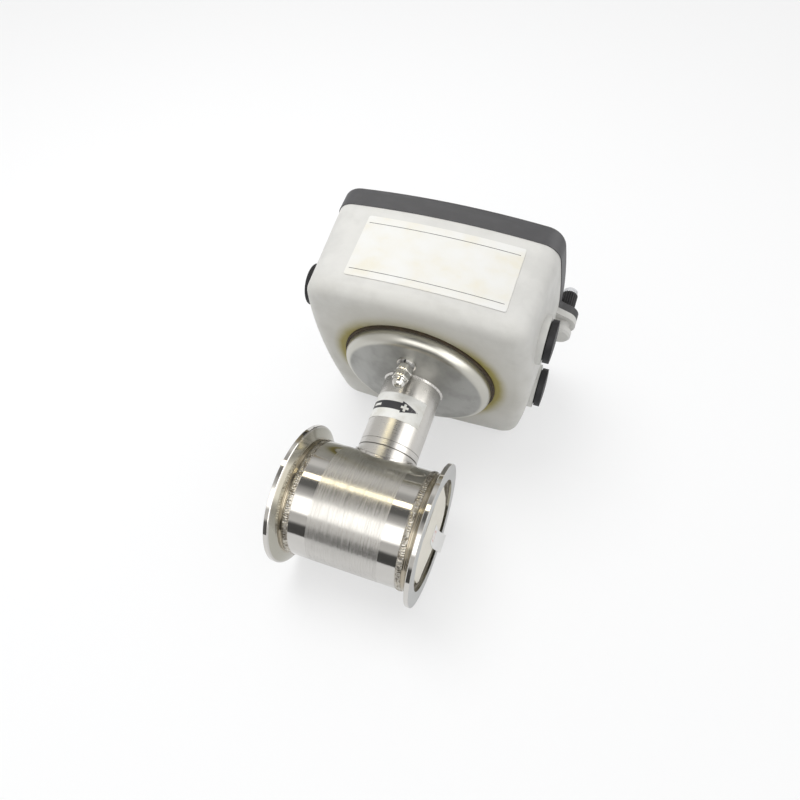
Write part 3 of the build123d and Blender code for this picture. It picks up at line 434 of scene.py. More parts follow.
class PrintSettings(bpy.types.PropertyGroup):
    """Labels and what is printed on them."""

    film: colour_setting("Label film", "Colour of the rating label", (0.72, 0.71, 0.665))
    ink: colour_setting("Ink", "Colour of the printed lines and the arrow", (0.03, 0.03, 0.035))
    upper_line: length_setting("Upper line", "Height of the upper printed line", 0.1611)
    lower_line: length_setting("Lower line", "Height of the lower printed line", 0.1255)
    arrow_height: length_setting("Arrow height", "Height of the arrow's middle", 0.0682)


class PaperSettings(bpy.types.PropertyGroup):
    """Card in the outlet recess and the tab stuck to it."""

    paper: colour_setting("Paper", "Colour of the card", (0.80, 0.77, 0.69))
    mark: colour_setting("Mark", "Colour of the faded mark on the tab", (0.62, 0.22, 0.16))


class StageSettings(bpy.types.PropertyGroup):
    """Table, light and camera."""

    ambient: FloatProperty(
        name="Ambient", description="Radiance of the soft light from all sides", min=0, default=0.80
    )
    key_power: FloatProperty(
        name="Key light", description="Power of the key light", unit="POWER", min=0, default=5.0
    )
    floor: colour_setting("Table", "Colour of the table", (0.86, 0.865, 0.87))
    table_edge: length_setting(
        "Table edge", "Distance from the meter's middle to the table's near edge", 0.23
    )
    focal: FloatProperty(
        name="Lens", description="Focal length for a 36 mm sensor", unit="CAMERA", default=26.35
    )


# Steel


def shell_finish(steel):
    """Turned middle, polished end bands, a dull film above and heat tint beside the welds."""
    finish = Finish("body_steel_turned")
    along = abs(finish.x)
    inner = steel.band_inner / MM
    outer = steel.band_outer / MM
    band = along.within(inner, outer, 0.15)
    streaks = finish.noise((0.03, 14, 14), 0.0)
    smears = finish.noise((16, 9, 9), 3.0)
    tint = along.above(outer - 0.6, outer + 2.0)
    scratches = finish.noise((1.4, 8, 0.35), 2.0, shift=4.0).above(0.72, 0.80) * (1 - band)
    film = finish.z.above(14, 30) * (0.30 + finish.noise((22, 12, 12), 4.0, shift=9.0) * 0.35)
    colour = finish.blend(steel.colour, shaded(steel.colour, 0.86), smears)
    colour = finish.blend(colour, steel.patina, film)
    colour = finish.blend(colour, steel.heat_tint, tint * 0.8)
    roughness = finish.lerp(steel.polished + 0.08, steel.brushed, streaks.above(0.47, 0.58))
    roughness = roughness + smears * 0.05 + scratches * 0.05
    roughness = finish.lerp(roughness, steel.polished + smears * 0.05, band)
    normal = finish.bump(smears, 0.04)
    return finish.set(base_color=colour, metallic=1.0, roughness=roughness, normal=normal)


def ferrule_finish(steel):
    """Polished cone, hub with turned rings, mirror-bright rim and a satin sealing face."""
    finish = Finish("flange_steel")
    along = abs(finish.x)
    reach = finish.radius(finish.y, finish.z)
    hub = 1 - along.above(FACE_X - 3.3, FACE_X - 2.9)
    hub = hub * (1 - reach.above(SHELL_RADIUS + 0.5, SHELL_RADIUS + 1.5))
    face = along.above(FACE_X - 0.15, FACE_X - 0.05)
    rim = reach.above(RIM_RADIUS - 1.3, RIM_RADIUS - 0.9) * (1 - face)
    rings = (along * 6.0).math("SINE")
    smears = finish.noise((8, 12, 12), 4.0)
    tint = hub * (1 - along.above(FACE_X - 7.0, FACE_X - 4.0))
    colour = finish.blend(steel.patina, steel.colour, 0.45 + rim * 0.55)
    colour = finish.blend(colour, steel.heat_tint, tint * 0.6)
    colour = finish.blend(colour, (0.47, 0.475, 0.47), face)
    roughness = finish.lerp(0.09 + smears * 0.08, 0.30 + smears * 0.12, face)
    roughness = finish.lerp(roughness, 0.05 + smears * 0.03, rim)
    lines = finish.noise((6, 0.4, 0.4), 2.0) * face
    relief = finish.bump(rings * hub * 0.5 + 0.5, 0.12)
    normal = finish.bump(lines, 0.01, relief)
    return finish.set(base_color=colour, metallic=1.0, roughness=roughness, normal=normal)


def weld_finish(weld, steel):
    """Weld metal scorched in patches, with bright specks."""
    finish = Finish("weld_steel_rippled")
    patches = finish.noise(5.0, 4.0, 0.6)
    specks = finish.noise(0.9, 2.0).above(0.50, 0.62)
    colour = finish.blend(weld.colour, weld.scorched, patches.above(0.42, 0.60))
    colour = finish.blend(colour, steel.colour, specks * 0.7)
    roughness = 0.10 + patches * 0.16
    relief = finish.bump(finish.noise(0.8, 3.0, 0.6), 0.16)
    return finish.set(base_color=colour, metallic=1.0, roughness=roughness, normal=relief)


def fillet_finish(steel):
    """Bright fillet weld with fine ripples and dark specks."""
    finish = Finish("weld_steel_bright")
    ripples = finish.noise(0.9, 3.0)
    specks = finish.noise(1.6, 3.0, shift=3.0).above(0.55, 0.68)
    colour = finish.blend(steel.colour, (0.22, 0.21, 0.18), specks * 0.7)
    relief = finish.bump(ripples, 0.08)
    roughness = 0.14 + ripples * 0.1
    return finish.set(base_color=colour, metallic=1.0, roughness=roughness, normal=relief)


def neck_finish(steel):
    """Fine polish along the neck, with two dark turned lines near the socket's top."""
    finish = Finish("neck_steel")
    streaks = finish.noise((0.5, 0.5, 20), 3.0, shift=2.0)
    rings = finish.noise((9, 9, 0.5), 3.0)
    lines = finish.z.within(44.62, 44.78, 0.12) + finish.z.within(40.0, 40.6, 0.1)
    colour = finish.blend(steel.colour, (0.10, 0.095, 0.085), lines * 0.85)
    roughness = 0.26 + (rings - 0.5) * 0.08 + streaks * 0.05
    relief = finish.bump(rings, 0.001)
    normal = finish.bump(1 - lines, 0.12, relief)
    return finish.set(base_color=colour, metallic=1.0, roughness=roughness, normal=normal)


def plate_finish(steel):
    """Dull satin plate with smudges, darker round the neck, and with a smoother rounded edge."""
    finish = Finish("plate_steel_satin")
    reach = finish.radius(finish.x, finish.y)
    rim = reach.above(46.0, 48.5)
    smudges = finish.noise((15, 22, 15), 5.0, 0.55).above(0.40, 0.72)
    specks = finish.noise(3.2, 3.0, 0.6, shift=7.0).above(0.66, 0.76)
    grain = finish.noise(0.35, 2.0)
    # Darker towards the neck, from 44 mm down to 24 mm from its axis.
    neck_darkening = (1 - reach.above(24, 44)) * 0.25
    colour = finish.blend((0.41, 0.41, 0.395), (0.28, 0.28, 0.265), smudges * 0.55)
    colour = finish.blend(colour, (0.18, 0.175, 0.16), specks * 0.35)
    colour = finish.blend(colour, (0.30, 0.30, 0.29), neck_darkening)
    colour = finish.blend(colour, (0.53, 0.52, 0.475), rim)
    roughness = finish.lerp(0.47 + smudges * 0.12, 0.28 + grain * 0.06, rim)
    normal = finish.bump(grain, 0.01)
    return finish.set(base_color=colour, metallic=1.0, roughness=roughness, normal=normal)


def bright_finish():
    """Bright plating with a faint haze."""
    finish = Finish("nickel_plate")
    haze = finish.noise(2.5, 3.0)
    colour = finish.blend((0.66, 0.65, 0.62), (0.48, 0.45, 0.40), haze.above(0.45, 0.75))
    return finish.set(base_color=colour, metallic=1.0, roughness=0.025 + haze * 0.05)


def fastener_finish():
    """Zinc plate with cloudy patches."""
    finish = Finish("zinc_plate")
    clouds = finish.noise(1.6, 4.0)
    colour = finish.blend((0.55, 0.55, 0.56), (0.36, 0.35, 0.33), clouds.above(0.4, 0.75))
    return finish.set(base_color=colour, metallic=1.0, roughness=0.24 + clouds * 0.2)


def core_finish():
    """Rolled steel of the magnet system."""
    finish = Finish("core_steel")
    scale = finish.noise((5, 5, 2), 4.0)
    colour = finish.blend((0.20, 0.20, 0.21), (0.32, 0.31, 0.30), scale)
    return finish.set(base_color=colour, metallic=0.9, roughness=0.42 + scale * 0.2)


class FLOWMETER_OT_steel(bpy.types.Operator):
    """Finish the shell, flanges and neck"""

    bl_idname = "flowmeter.steel"
    bl_label = "Steel pieces"

    def execute(self, context):
        steel = context.scene.flowmeter_steel
        dress(shell_finish(steel), "sensor_shell")
        dress(ferrule_finish(steel), "inlet_flange", "outlet_flange")
        dress(neck_finish(steel), "neck_socket", "neck_tube")
        return {"FINISHED"}


class FLOWMETER_OT_welds(bpy.types.Operator):
    """Make the rippled girth welds and finish the fillet welds"""

    bl_idname = "flowmeter.welds"
    bl_label = "Welds"

    def execute(self, context):
        weld = context.scene.flowmeter_weld
        finish = weld_finish(weld, context.scene.flowmeter_steel)
        for end in ("inlet", "outlet"):
            node = f"{end}_weld_bead"
            ring = weld_ring(f"{end}_weld_ripples", weld, middle(node)[0], finish)
            stand_in(ring, "weld_steel", node)
        dress(fillet_finish(context.scene.flowmeter_steel), "neck_weld", "plate_weld")
        return {"FINISHED"}


class FLOWMETER_OT_plate(bpy.types.Operator):
    """Finish the mounting plate"""

    bl_idname = "flowmeter.plate"
    bl_label = "Mounting plate"

    def execute(self, context):
        dress(plate_finish(context.scene.flowmeter_steel), "mounting_plate")
        return {"FINISHED"}


NUT_CHAMFER = 0.55
NUT_ACROSS = 0.98
NUT_NARROWING = 0.86
DOMED_NUT_HEX = 5.0
DOMED_NUT_CHAMFER = 0.7
DOME_WIDTH = 0.74
DOME_TIP = 0.05


def hex_nut_levels(start, end, wide):
    """Both ends of a hex nut narrow to its chamfer."""
    narrow = wide * NUT_NARROWING
    return [(start, narrow), (start + NUT_CHAMFER, wide), (end - NUT_CHAMFER, wide), (end, narrow)]


def domed_nut_levels(start, end, wide):
    """A hexagon with chamfered ends, then a quarter circle turned up to the tip."""
    narrow = wide * NUT_NARROWING
    hex_end = start + DOMED_NUT_HEX
    dome = wide * DOME_WIDTH
    turns = np.linspace(0, 0.5 * math.pi, 12)
    heights = end - dome + dome * np.sin(turns)
    radii = np.maximum(DOME_TIP, dome * np.cos(turns))
    return [
        (start, narrow), (start + NUT_CHAMFER, wide), (hex_end - DOMED_NUT_CHAMFER, wide),
        (hex_end, narrow), (hex_end + 0.1, dome), *zip(heights, radii)
    ]


class FLOWMETER_OT_earth_terminal(bpy.types.Operator):
    """Make the chamfered nut and cap nut of the earth terminal and finish its washers"""

    bl_idname = "flowmeter.earth_terminal"
    bl_label = "Earth terminal"

    def execute(self, context):
        bright = bright_finish()
        origin = middle("earth_washer")
        axis = middle("earth_nut") - origin
        axis /= np.linalg.norm(axis)
        nuts = (
            ("earth_nut", "earth_hex_nut", hex_nut_levels),
            ("earth_cap_nut", "earth_domed_nut", domed_nut_levels),
        )
        for node, name, profile in nuts:
            start, end, corner = reach_along(node, origin, axis)
            levels = profile(start, end, np.linalg.norm(corner) * NUT_ACROSS)
            nut = turned_hex(name, origin, axis, corner, levels, bright)
            stand_in(nut, "chrome", node)
        dress(bright, "earth_washer")
        zinc = fastener_finish()
        dress(zinc, "earth_stud", "earth_spring_washer", "plate_screws", "board_screws")
        return {"FINISHED"}


# Housing


GASKET_RADIUS = 53.8
BOX_BOTTOM = 105.2
BOX_HALF_WIDTH = 79.0
SEAM_HEIGHT = 173.8
LID_TOP = 190.0


def box_finish(housing):
    """Pale moulded plastic with a fine grain and mottled dirt, painted shade on the underside that
    is deepest round the plate, and a stain round the plate's gasket.
    """
    finish = Finish("box_plastic_moulded")
    reach = finish.radius(finish.x, finish.y)
    spread = housing.stain_reach / MM
    cloud = finish.noise((18, 18, 10), 4.0, 0.6)
    grime_and_shade = finish.noise((26, 26, 20), 5.0, 0.6)
    below = 1 - finish.z.above(BOX_BOTTOM + 0.8, BOX_BOTTOM + 16.8)
    ring = (1 - reach.above(GASKET_RADIUS - 0.8, GASKET_RADIUS - 0.3 + spread)) * below
    sides = abs(finish.x / reach).above(0.35, 1.0)
    stain = ring * (0.45 + cloud * 0.7) * (0.55 + sides * 1.1)
    # Painted shade on the lowest 17 mm of the box, deepest within about 56 to 82 mm of the neck's
    # axis.
    underside_shade = (1 - reach.above(56, 82)) * below * 0.34
    rubbed = finish.noise(5.0, 3.0).above(0.45, 0.7)
    edges = finish.z.above(SEAM_HEIGHT - 5.8, SEAM_HEIGHT - 0.2) * rubbed
    colour = finish.blend(housing.box, shaded(housing.box, 0.90), grime_and_shade.above(0.4, 0.7))
    # Olive grey painted shade on the underside, partly mottled by the same noise as the dirt.
    colour = finish.blend(colour, (0.46, 0.44, 0.37), underside_shade + below * grime_and_shade * 0.34)
    colour = finish.blend(colour, (0.60, 0.585, 0.54), edges * 0.35)
    colour = finish.blend(colour, housing.stain, stain)
    grain = finish.noise(0.45, 2.0)
    roughness = 0.46 + grime_and_shade * 0.1 + stain * 0.1
    normal = finish.bump(grain, 0.015)
    return finish.set(base_color=colour, roughness=roughness, normal=normal)


def lid_finish(housing):
    """Dark moulded plastic, rubbed paler along the top edge and darker on the ears."""
    finish = Finish("lid_plastic_moulded")
    rubbed = finish.noise((12, 12, 5), 5.0, 0.65)
    top = finish.z.above(LID_TOP - 7, LID_TOP - 1)
    pale = shaded(housing.lid, 2.1)
    ears = abs(finish.x).above(BOX_HALF_WIDTH + 0.5, BOX_HALF_WIDTH + 3)
    colour = finish.blend(housing.lid, pale, rubbed.above(0.38, 0.76) * (0.16 + top * 0.22))
    colour = finish.blend(colour, housing.dark, ears * 0.55)
    grain = finish.noise(0.5, 2.0)
    normal = finish.bump(grain, 0.02)
    return finish.set(base_color=colour, roughness=0.44 + rubbed * 0.14, normal=normal)


def dark_plastic_finish(housing):
    """Near-black moulded plastic with dusty patches."""
    finish = Finish("dark_plastic_moulded")
    dust = finish.noise(6.0, 5.0, 0.65)
    pale = shaded(housing.dark, 2.2)
    colour = finish.blend(housing.dark, pale, dust.above(0.45, 0.75))
    normal = finish.bump(finish.noise(0.4, 2.0), 0.012)
    return finish.set(base_color=colour, roughness=0.50 + dust * 0.16, normal=normal)


def rubber_finish(name, colour, aged):
    """Rubber with a mottled, aged skin."""
    finish = Finish(name)
    mottle = finish.noise((4, 4, 1.5), 4.0)
    shade = finish.blend(colour, aged, mottle.above(0.4, 0.7))
    normal = finish.bump(finish.noise(0.6, 3.0), 0.03)
    return finish.set(base_color=shade, roughness=0.6 + mottle * 0.2, normal=normal)


class FLOWMETER_OT_housing(bpy.types.Operator):
    """Finish the terminal box and its lid"""

    bl_idname = "flowmeter.housing"
    bl_label = "Terminal box and lid"

    def execute(self, context):
        housing = context.scene.flowmeter_housing
        dress(box_finish(housing), "terminal_box")
        dress(lid_finish(housing), "lid")
        return {"FINISHED"}


def tip_finish():
    """Pale grey tip of a closure screw, worn darker in patches."""
    finish = Finish("closure_tip")
    worn = finish.noise(1.5, 4.0)
    colour = finish.blend((0.62, 0.63, 0.65), (0.40, 0.40, 0.41), worn.above(0.45, 0.75))
    return finish.set(base_color=colour, roughness=0.38 + worn * 0.15)


def at_each_port(piece):
    """Names of a piece's CAD nodes at the four cable entries."""
    return [f"{row}_{side}_{piece}" for row in ("front", "rear") for side in ("left", "right")]


class FLOWMETER_OT_closures(bpy.types.Operator):
    """Finish the lid closures and the blanking plugs"""

    bl_idname = "flowmeter.closures"
    bl_label = "Closures and plugs"

    def execute(self, context):
        dark = dark_plastic_finish(context.scene.flowmeter_housing)
        dress(dark, "left_closure_knob", "right_closure_knob", *at_each_port("blanking_plug"))
        dress(tip_finish(), "left_closure_screw", "right_closure_screw")
        return {"FINISHED"}


class FLOWMETER_OT_seals(bpy.types.Operator):
    """Finish the gaskets, seals and grommet"""

    bl_idname = "flowmeter.seals"
    bl_label = "Seals"

    def execute(self, context):
        brown = rubber_finish("brown_rubber_aged", (0.028, 0.017, 0.007), (0.06, 0.04, 0.018))
        black = rubber_finish("black_rubber", (0.012, 0.012, 0.012), (0.035, 0.035, 0.035))
        grey = rubber_finish("grey_rubber", (0.15, 0.135, 0.11), (0.24, 0.22, 0.185))
        dress(brown, "plate_gasket")
        dress(grey, "inlet_port_gasket", "outlet_port_gasket")
        dress(black, "lid_gasket", "lead_grommet", *at_each_port("plug_seal"))
        return {"FINISHED"}


# Labels and paper


LINE_ENDS = (-45.5, 51.5)
LINE_HALF_WIDTH = 0.16


def label_finish(prints):
    """Ivory film, yellowed in clouds, with two thin printed lines."""
    finish = Finish("label_film_printed")
    yellowed = finish.noise((24, 24, 18), 3.0)
    rises = [finish.z - height / MM for height in (prints.upper_line, prints.lower_line)]
    lines = sum(rise.within(-LINE_HALF_WIDTH, LINE_HALF_WIDTH, 0.08) for rise in rises)
    ink = lines * finish.x.within(*LINE_ENDS, 0.3)
    worn = finish.noise((2.5, 2.5, 0.6), 3.0).above(0.3, 0.5)
    colour = finish.blend(prints.film, (0.73, 0.73, 0.71), yellowed.above(0.42, 0.66))
    colour = finish.blend(colour, (0.70, 0.66, 0.54), (1 - yellowed.above(0.30, 0.48)) * 0.6)
    colour = finish.blend(colour, prints.ink, ink * (0.75 + worn * 0.25))
    roughness = 0.34 + yellowed * 0.12
    normal = finish.bump(finish.noise(3.0, 2.0), 0.01)
    return finish.set(base_color=colour, roughness=roughness, normal=normal)


ARROW_TAIL = (-155, -83)
ARROW_HEAD = (-83.5, -50)
ARROW_MINUS = (-147, -127)
ARROW_PLUS = -77
TAIL_HALF_WIDTH = 2.7
HEAD_NARROWING = 4.1 / 33
NECK_RADIUS = 20


def arrow_label_finish(prints):
    """White film with a dark arrow round the neck, a minus on its tail and a plus on its head.

    Places on the arrow are angles in degrees round the neck, from +X towards +Y, and heights
    over the arrow's middle. The head's half width falls by an equal part of a millimetre for
    each degree, to nothing at its tip.
    """
    finish = Finish("arrow_label_printed")
    turn = finish.y.math("ARCTAN2", finish.x) * (180 / math.pi)
    centre = prints.arrow_height / MM
    rise = abs(finish.z - centre)
    tail = turn.within(*ARROW_TAIL, 0.4)
    tail = tail * (1 - rise.above(TAIL_HALF_WIDTH, TAIL_HALF_WIDTH + 0.1))
    half_width = (turn - ARROW_HEAD[1]) * -HEAD_NARROWING
    head = turn.within(*ARROW_HEAD, 0.3) * (1 - (rise - half_width).above(-0.05, 0.05))
    across = abs((turn - ARROW_PLUS) * (NECK_RADIUS * math.pi / 180))
    plus_bar = (1 - across.above(2.5, 2.6)) * (1 - rise.above(0.75, 0.85))
    plus_post = (1 - rise.above(2.5, 2.6)) * (1 - across.above(0.75, 0.85))
    minus = turn.within(*ARROW_MINUS, 0.3) * (1 - rise.above(0.8, 0.9))
    dots = finish.noise(0.7, 1.0).above(0.60, 0.66) * turn.above(-66, -58)
    sign = plus_bar.math("MAXIMUM", plus_post).math("MAXIMUM", minus)
    ink = tail.math("MAXIMUM", head) * (1 - sign) * (1 - dots)
    aged = finish.noise((9, 9, 6), 4.0)
    colour = finish.blend((0.78, 0.78, 0.75), (0.66, 0.65, 0.60), aged.above(0.4, 0.7))
    colour = finish.blend(colour, prints.ink, ink)
    normal = finish.bump(finish.noise(2.0, 2.0), 0.02)
    return finish.set(base_color=colour, roughness=0.42 + aged * 0.1, normal=normal)


def paper_finish(name, paper, mark=None):
    """Uncoated paper with a soft fibre relief, and a faded mark on the tab."""
    finish = Finish(name)
    fibres = finish.noise(0.8, 4.0, 0.65)
    soft = finish.noise(7.0, 3.0)
    colour = finish.blend(paper, shaded(paper, 0.90), soft)
    if mark is not None:
        box = finish.y.within(-1.0, 6.0, 0.3) * finish.z.within(-3.4, 3.4, 0.3)
        inner = finish.y.within(0.0, 5.0, 0.3) * finish.z.within(-2.4, 2.4, 0.3)
        faded = finish.noise(1.6, 2.0).above(0.36, 0.54)
        colour = finish.blend(colour, mark, (box - inner) * faded * 0.85)
    normal = finish.bump(fibres, 0.03)
    return finish.set(base_color=colour, roughness=0.8, normal=normal)


class FLOWMETER_OT_labels(bpy.types.Operator):
    """Finish the rating label and the arrow label"""

    bl_idname = "flowmeter.labels"
    bl_label = "Labels"

    def execute(self, context):
        prints = context.scene.flowmeter_print
        dress(label_finish(prints), "rating_label")
        dress(arrow_label_finish(prints), "flow_arrow_label")
        return {"FINISHED"}


class FLOWMETER_OT_outlet_paper(bpy.types.Operator):
    """Finish the card and its tab in the outlet"""

    bl_idname = "flowmeter.outlet_paper"
    bl_label = "Outlet paper"

    def execute(self, context):
        paper = context.scene.flowmeter_paper
        dress(paper_finish("card_paper", paper.paper), "port_card")
        dress(paper_finish("tab_paper", (0.84, 0.84, 0.83), paper.mark), "paper_tab")
        return {"FINISHED"}


# Inside


def ceramic_finish():
    """Fired ceramic with faint firing clouds."""
    finish = Finish("ceramic_fired")
    clouds = finish.noise((9, 5, 5), 4.0)
    colour = finish.blend((0.80, 0.79, 0.74), (0.70, 0.68, 0.61), clouds.above(0.4, 0.75))
    return finish.set(base_color=colour, roughness=0.30 + clouds * 0.14)


def winding_finish():
    """Copper wire wound in close turns, as rings of relief along the coil's axis, with painted
    shade in the grooves between turns and a painted highlight on their crests.
    """
    finish = Finish("copper_winding")
    turns = (finish.z * 9.0).math("SINE") * 0.5 + 0.5
    # Painted shade and highlight: the copper is darker in the grooves and paler on the crests of
    # the turns.
    colour = finish.blend((0.42, 0.15, 0.06), (0.62, 0.27, 0.12), turns)
    normal = finish.bump(turns, 0.2)
    roughness = 0.28 + turns * 0.08
    return finish.set(base_color=colour, metallic=0.85, roughness=roughness, normal=normal)


def moulded_finish(name, colour, size, roughness):
    """Plain moulding with a fine grain and slight shade changes."""
    finish = Finish(name)
    clouds = finish.noise(size, 4.0)
    shade = finish.blend(colour, shaded(colour, 0.75), clouds.above(0.35, 0.75))
    normal = finish.bump(finish.noise(0.4, 2.0), 0.012)
    return finish.set(base_color=shade, roughness=roughness + clouds * 0.1, normal=normal)


class FLOWMETER_OT_measuring_tube(bpy.types.Operator):
    """Finish the ceramic tube, the electrodes, the magnet system and the leads"""

    bl_idname = "flowmeter.measuring_tube"
    bl_label = "Measuring tube"

    def execute(self, context):
        dress(ceramic_finish(), "ceramic_tube")
        dress(bright_finish(), "front_electrode", "rear_electrode")
        dress(core_finish(), "return_yoke", "upper_pole_piece", "lower_pole_piece")
        dress(winding_finish(), "upper_coil", "lower_coil")
        leads = moulded_finish("lead_insulation", (0.42, 0.40, 0.36), 3.0, 0.5)
        dress(leads, "front_electrode_lead", "rear_electrode_lead")
        dress(leads, "upper_coil_lead", "lower_coil_lead")
        return {"FINISHED"}


class FLOWMETER_OT_connection_board(bpy.types.Operator):
    """Finish the board and its blocks inside the terminal box"""

    bl_idname = "flowmeter.connection_board"
    bl_label = "Connection board"

    def execute(self, context):
        dress(moulded_finish("board_mask", (0.03, 0.16, 0.08), 12.0, 0.3), "connection_board")
        blocks = moulded_finish("block_plastic", (0.30, 0.31, 0.32), 6.0, 0.45)
        dress(blocks, "front_terminal_block", "rear_terminal_block")
        dress(moulded_finish("module_plastic", (0.02, 0.02, 0.025), 5.0, 0.25), "memory_module")
        return {"FINISHED"}


# Stage


WHITE = (1.0, 1.0, 1.0, 1.0)
TABLE_GLOW = 0.55


def table_finish(colour):
    """Pale table, clear from below.

    Camera and reflections see it brighter than it is, so that its shadow stays near white.
    """
    finish = Finish("stage_table")
    finish.set(base_color=colour, roughness=0.75)
    path = finish.node("ShaderNodeLightPath")
    rays = ("Is Camera Ray", "Is Glossy Ray", "Is Transmission Ray")
    seen = sum(Field(finish, path.outputs[ray]) for ray in rays)
    glow = finish.field("ShaderNodeEmission", None, {"Color": WHITE, "Strength": 1.0})
    own = Field(finish, finish.shader.outputs[0])
    lit = finish.field("ShaderNodeMixShader", None, {0: seen * TABLE_GLOW, 1: own, 2: glow})
    clear = finish.field("ShaderNodeBsdfTransparent")
    back = finish.field("ShaderNodeNewGeometry", output="Backfacing")
    surface = finish.field("ShaderNodeMixShader", None, {0: back, 1: lit, 2: clear})
    output = next(node for node in finish.tree.nodes if node.type == "OUTPUT_MATERIAL")
    finish.tree.links.new(surface.socket, output.inputs["Surface"])
    return finish.material


PIPE_VIEW = (
    (-180, 0.90), (-106, 0.90), (-98, 0.08), (-72, 0.09), (-66, 0.75), (-50, 0.70),
    (-45, 2.4), (-19, 2.4), (-14, 1.0), (-8, 0.60), (-1, 0.42), (5, 0.16), (15, 0.16),
    (20, 0.30), (30, 0.40), (44, 0.55), (50, 0.85), (58, 0.80), (68, 0.45), (75, 0.28),
    (88, 0.18), (120, 0.20), (138, 0.26), (146, 0.60), (162, 0.90), (180, 0.90),
)
NECK_VIEW = (
    (-180, 0.68), (-60, 0.75), (-20, 0.90), (4, 0.84), (13, 0.70), (22, 1.0), (30, 1.5),
    (37, 2.6), (70, 2.6), (77, 1.3), (86, 0.95), (104, 0.66), (180, 0.68),
)
LAMP_ANGLES = (21.5, 29)
LAMP_ACROSS = (-0.41, -0.10)
LAMP_RADIANCE = 4.5
LAMP_COLOUR = (1.0, 0.90, 0.62)
AMBER_ANGLES = (72, 140)
AMBER_COLOUR = (1.0, 0.86, 0.60)
WALL_COLOUR = (1.0, 0.99, 0.965)


def studio_world(ambient):
    """Soft light from all sides; polished metal sees pale and dark walls, a lamp and a window.

    What it sees is given as (angle in degrees, radiance). Near the plane across the pipe the
    angle goes from -Y towards +Z, so the strips lie along the pipe. Farther to the sides it goes
    from -Y towards +X, so the strips stand along the neck.
    """
    world = bpy.data.worlds.new("studio")
    world.use_nodes = True
    recipe = Recipe(world.node_tree)
    direction = recipe.field("ShaderNodeTexCoord", output="Generated")
    split = recipe.node("ShaderNodeSeparateXYZ", None, {0: direction})
    dx, dy, dz = (Field(recipe, socket) for socket in split.outputs)
    degrees = 180 / math.pi
    round_pipe = dz.math("ARCTAN2", dy * -1.0) * degrees
    round_neck = dx.math("ARCTAN2", dy * -1.0) * degrees
    sides = abs(dx).above(0.38, 0.46)
    seen_by_pipe = recipe.ramp(round_pipe, PIPE_VIEW)
    seen_by_neck = recipe.ramp(round_neck, NECK_VIEW)
    lamp = round_pipe.within(*LAMP_ANGLES, 1.5) * dx.within(*LAMP_ACROSS, 0.05) * (1 - sides)
    strips = recipe.lerp(seen_by_pipe, seen_by_neck, sides) + lamp * LAMP_RADIANCE
    amber = round_pipe.within(*AMBER_ANGLES, 8) * (1 - sides)
    colour = recipe.blend(WALL_COLOUR, LAMP_COLOUR, lamp)
    colour = recipe.blend(colour, AMBER_COLOUR, amber)
    glossy = recipe.field("ShaderNodeBackground", None, {"Color": colour, "Strength": strips})
    soft = recipe.field("ShaderNodeBackground", None, {"Color": WHITE, "Strength": ambient})
    seen = recipe.field("ShaderNodeBackground", None, {"Color": WHITE, "Strength": 1.0})
    path = recipe.node("ShaderNodeLightPath")
    is_glossy = Field(recipe, path.outputs["Is Glossy Ray"])
    is_camera = Field(recipe, path.outputs["Is Camera Ray"])
    mixed = recipe.field("ShaderNodeMixShader", None, {0: is_glossy, 1: soft, 2: glossy})
    surface = recipe.field("ShaderNodeMixShader", None, {0: is_camera, 1: mixed, 2: seen})
    recipe.node("ShaderNodeOutputWorld", None, {"Surface": surface})
    return world


def resting_lean(rim_radius, *nodes):
    """Angle between the neck and a table that the rims and the nodes lie on.

    The table touches the round rims, whose axis is X. A point at distance d from that axis and
    at angle a from +Y towards +Z clears the table when the lean is at least the arc cosine of
    the rim radius over d, less a.
    """
    points = np.concatenate([node_points(node) for node in nodes])
    distance = np.hypot(points[:, 1], points[:, 2])
    turn = np.arctan2(points[:, 2], points[:, 1])
    return float((np.arccos(rim_radius / distance) - turn).max())


def look_matrix(place, right, down, forward):
    """Matrix of a camera from its place and three axes of the picture."""
    columns = [Vector(right), -Vector(down), -Vector(forward), Vector(place)]
    rows = [[column[i] for column in columns] for i in range(3)]
    return Matrix((*rows, (0, 0, 0, 1)))


TABLE_REACH = 3.0
TABLE_CLEARANCE = 0.0004


def add_table(settings):
    """Table that the meter lies on, as one rectangle with its near edge below the pipe."""
    lean = resting_lean(RIM_RADIUS, "terminal_box", "lid")
    normal = Vector((0, -math.cos(lean), math.sin(lean)))
    up = Vector((0, math.sin(lean), math.cos(lean)))
    foot = normal * -(RIM_RADIUS * MM + TABLE_CLEARANCE)
    near = -settings.table_edge
    ends = (
        (-TABLE_REACH, near), (TABLE_REACH, near),
        (TABLE_REACH, TABLE_REACH), (-TABLE_REACH, TABLE_REACH)
    )
    corners = [foot + Vector((across, 0, 0)) + up * along for across, along in ends]
    points = np.array([tuple(corner) for corner in corners]) / MM
    table = add_mesh("table", points, [(0, 1, 2, 3)], table_finish(settings.floor), smooth=False)


KEY_SIZE = 0.7
KEY_AIM = Vector((0, 0, 0.08))
KEY_TOWARDS = Vector((-0.30, -0.88, 0.36)).normalized()


def add_key_light(scene, power):
    """Round key light at one metre, to the left of the camera and farther towards the box."""
    light = bpy.data.lights.new("key", "AREA")
    light.shape = "DISK"
    light.size = KEY_SIZE
    light.energy = power
    key = bpy.data.objects.new("key", light)
    scene.collection.objects.link(key)
    key.location = KEY_AIM + KEY_TOWARDS
    key.rotation_euler = KEY_TOWARDS.to_track_quat("Z", "Y").to_euler()
    key.visible_glossy = False


CAMERA_PLACE = (0.0943, -0.3563, -0.0682)
CAMERA_RIGHT = (0.944, 0.076, 0.320)
CAMERA_DOWN = (0.268, 0.386, -0.883)
CAMERA_FORWARD = (-0.191, 0.919, 0.344)
CAMERA_SHIFT = (-0.0361, 0.0384)
SENSOR_WIDTH = 36.0


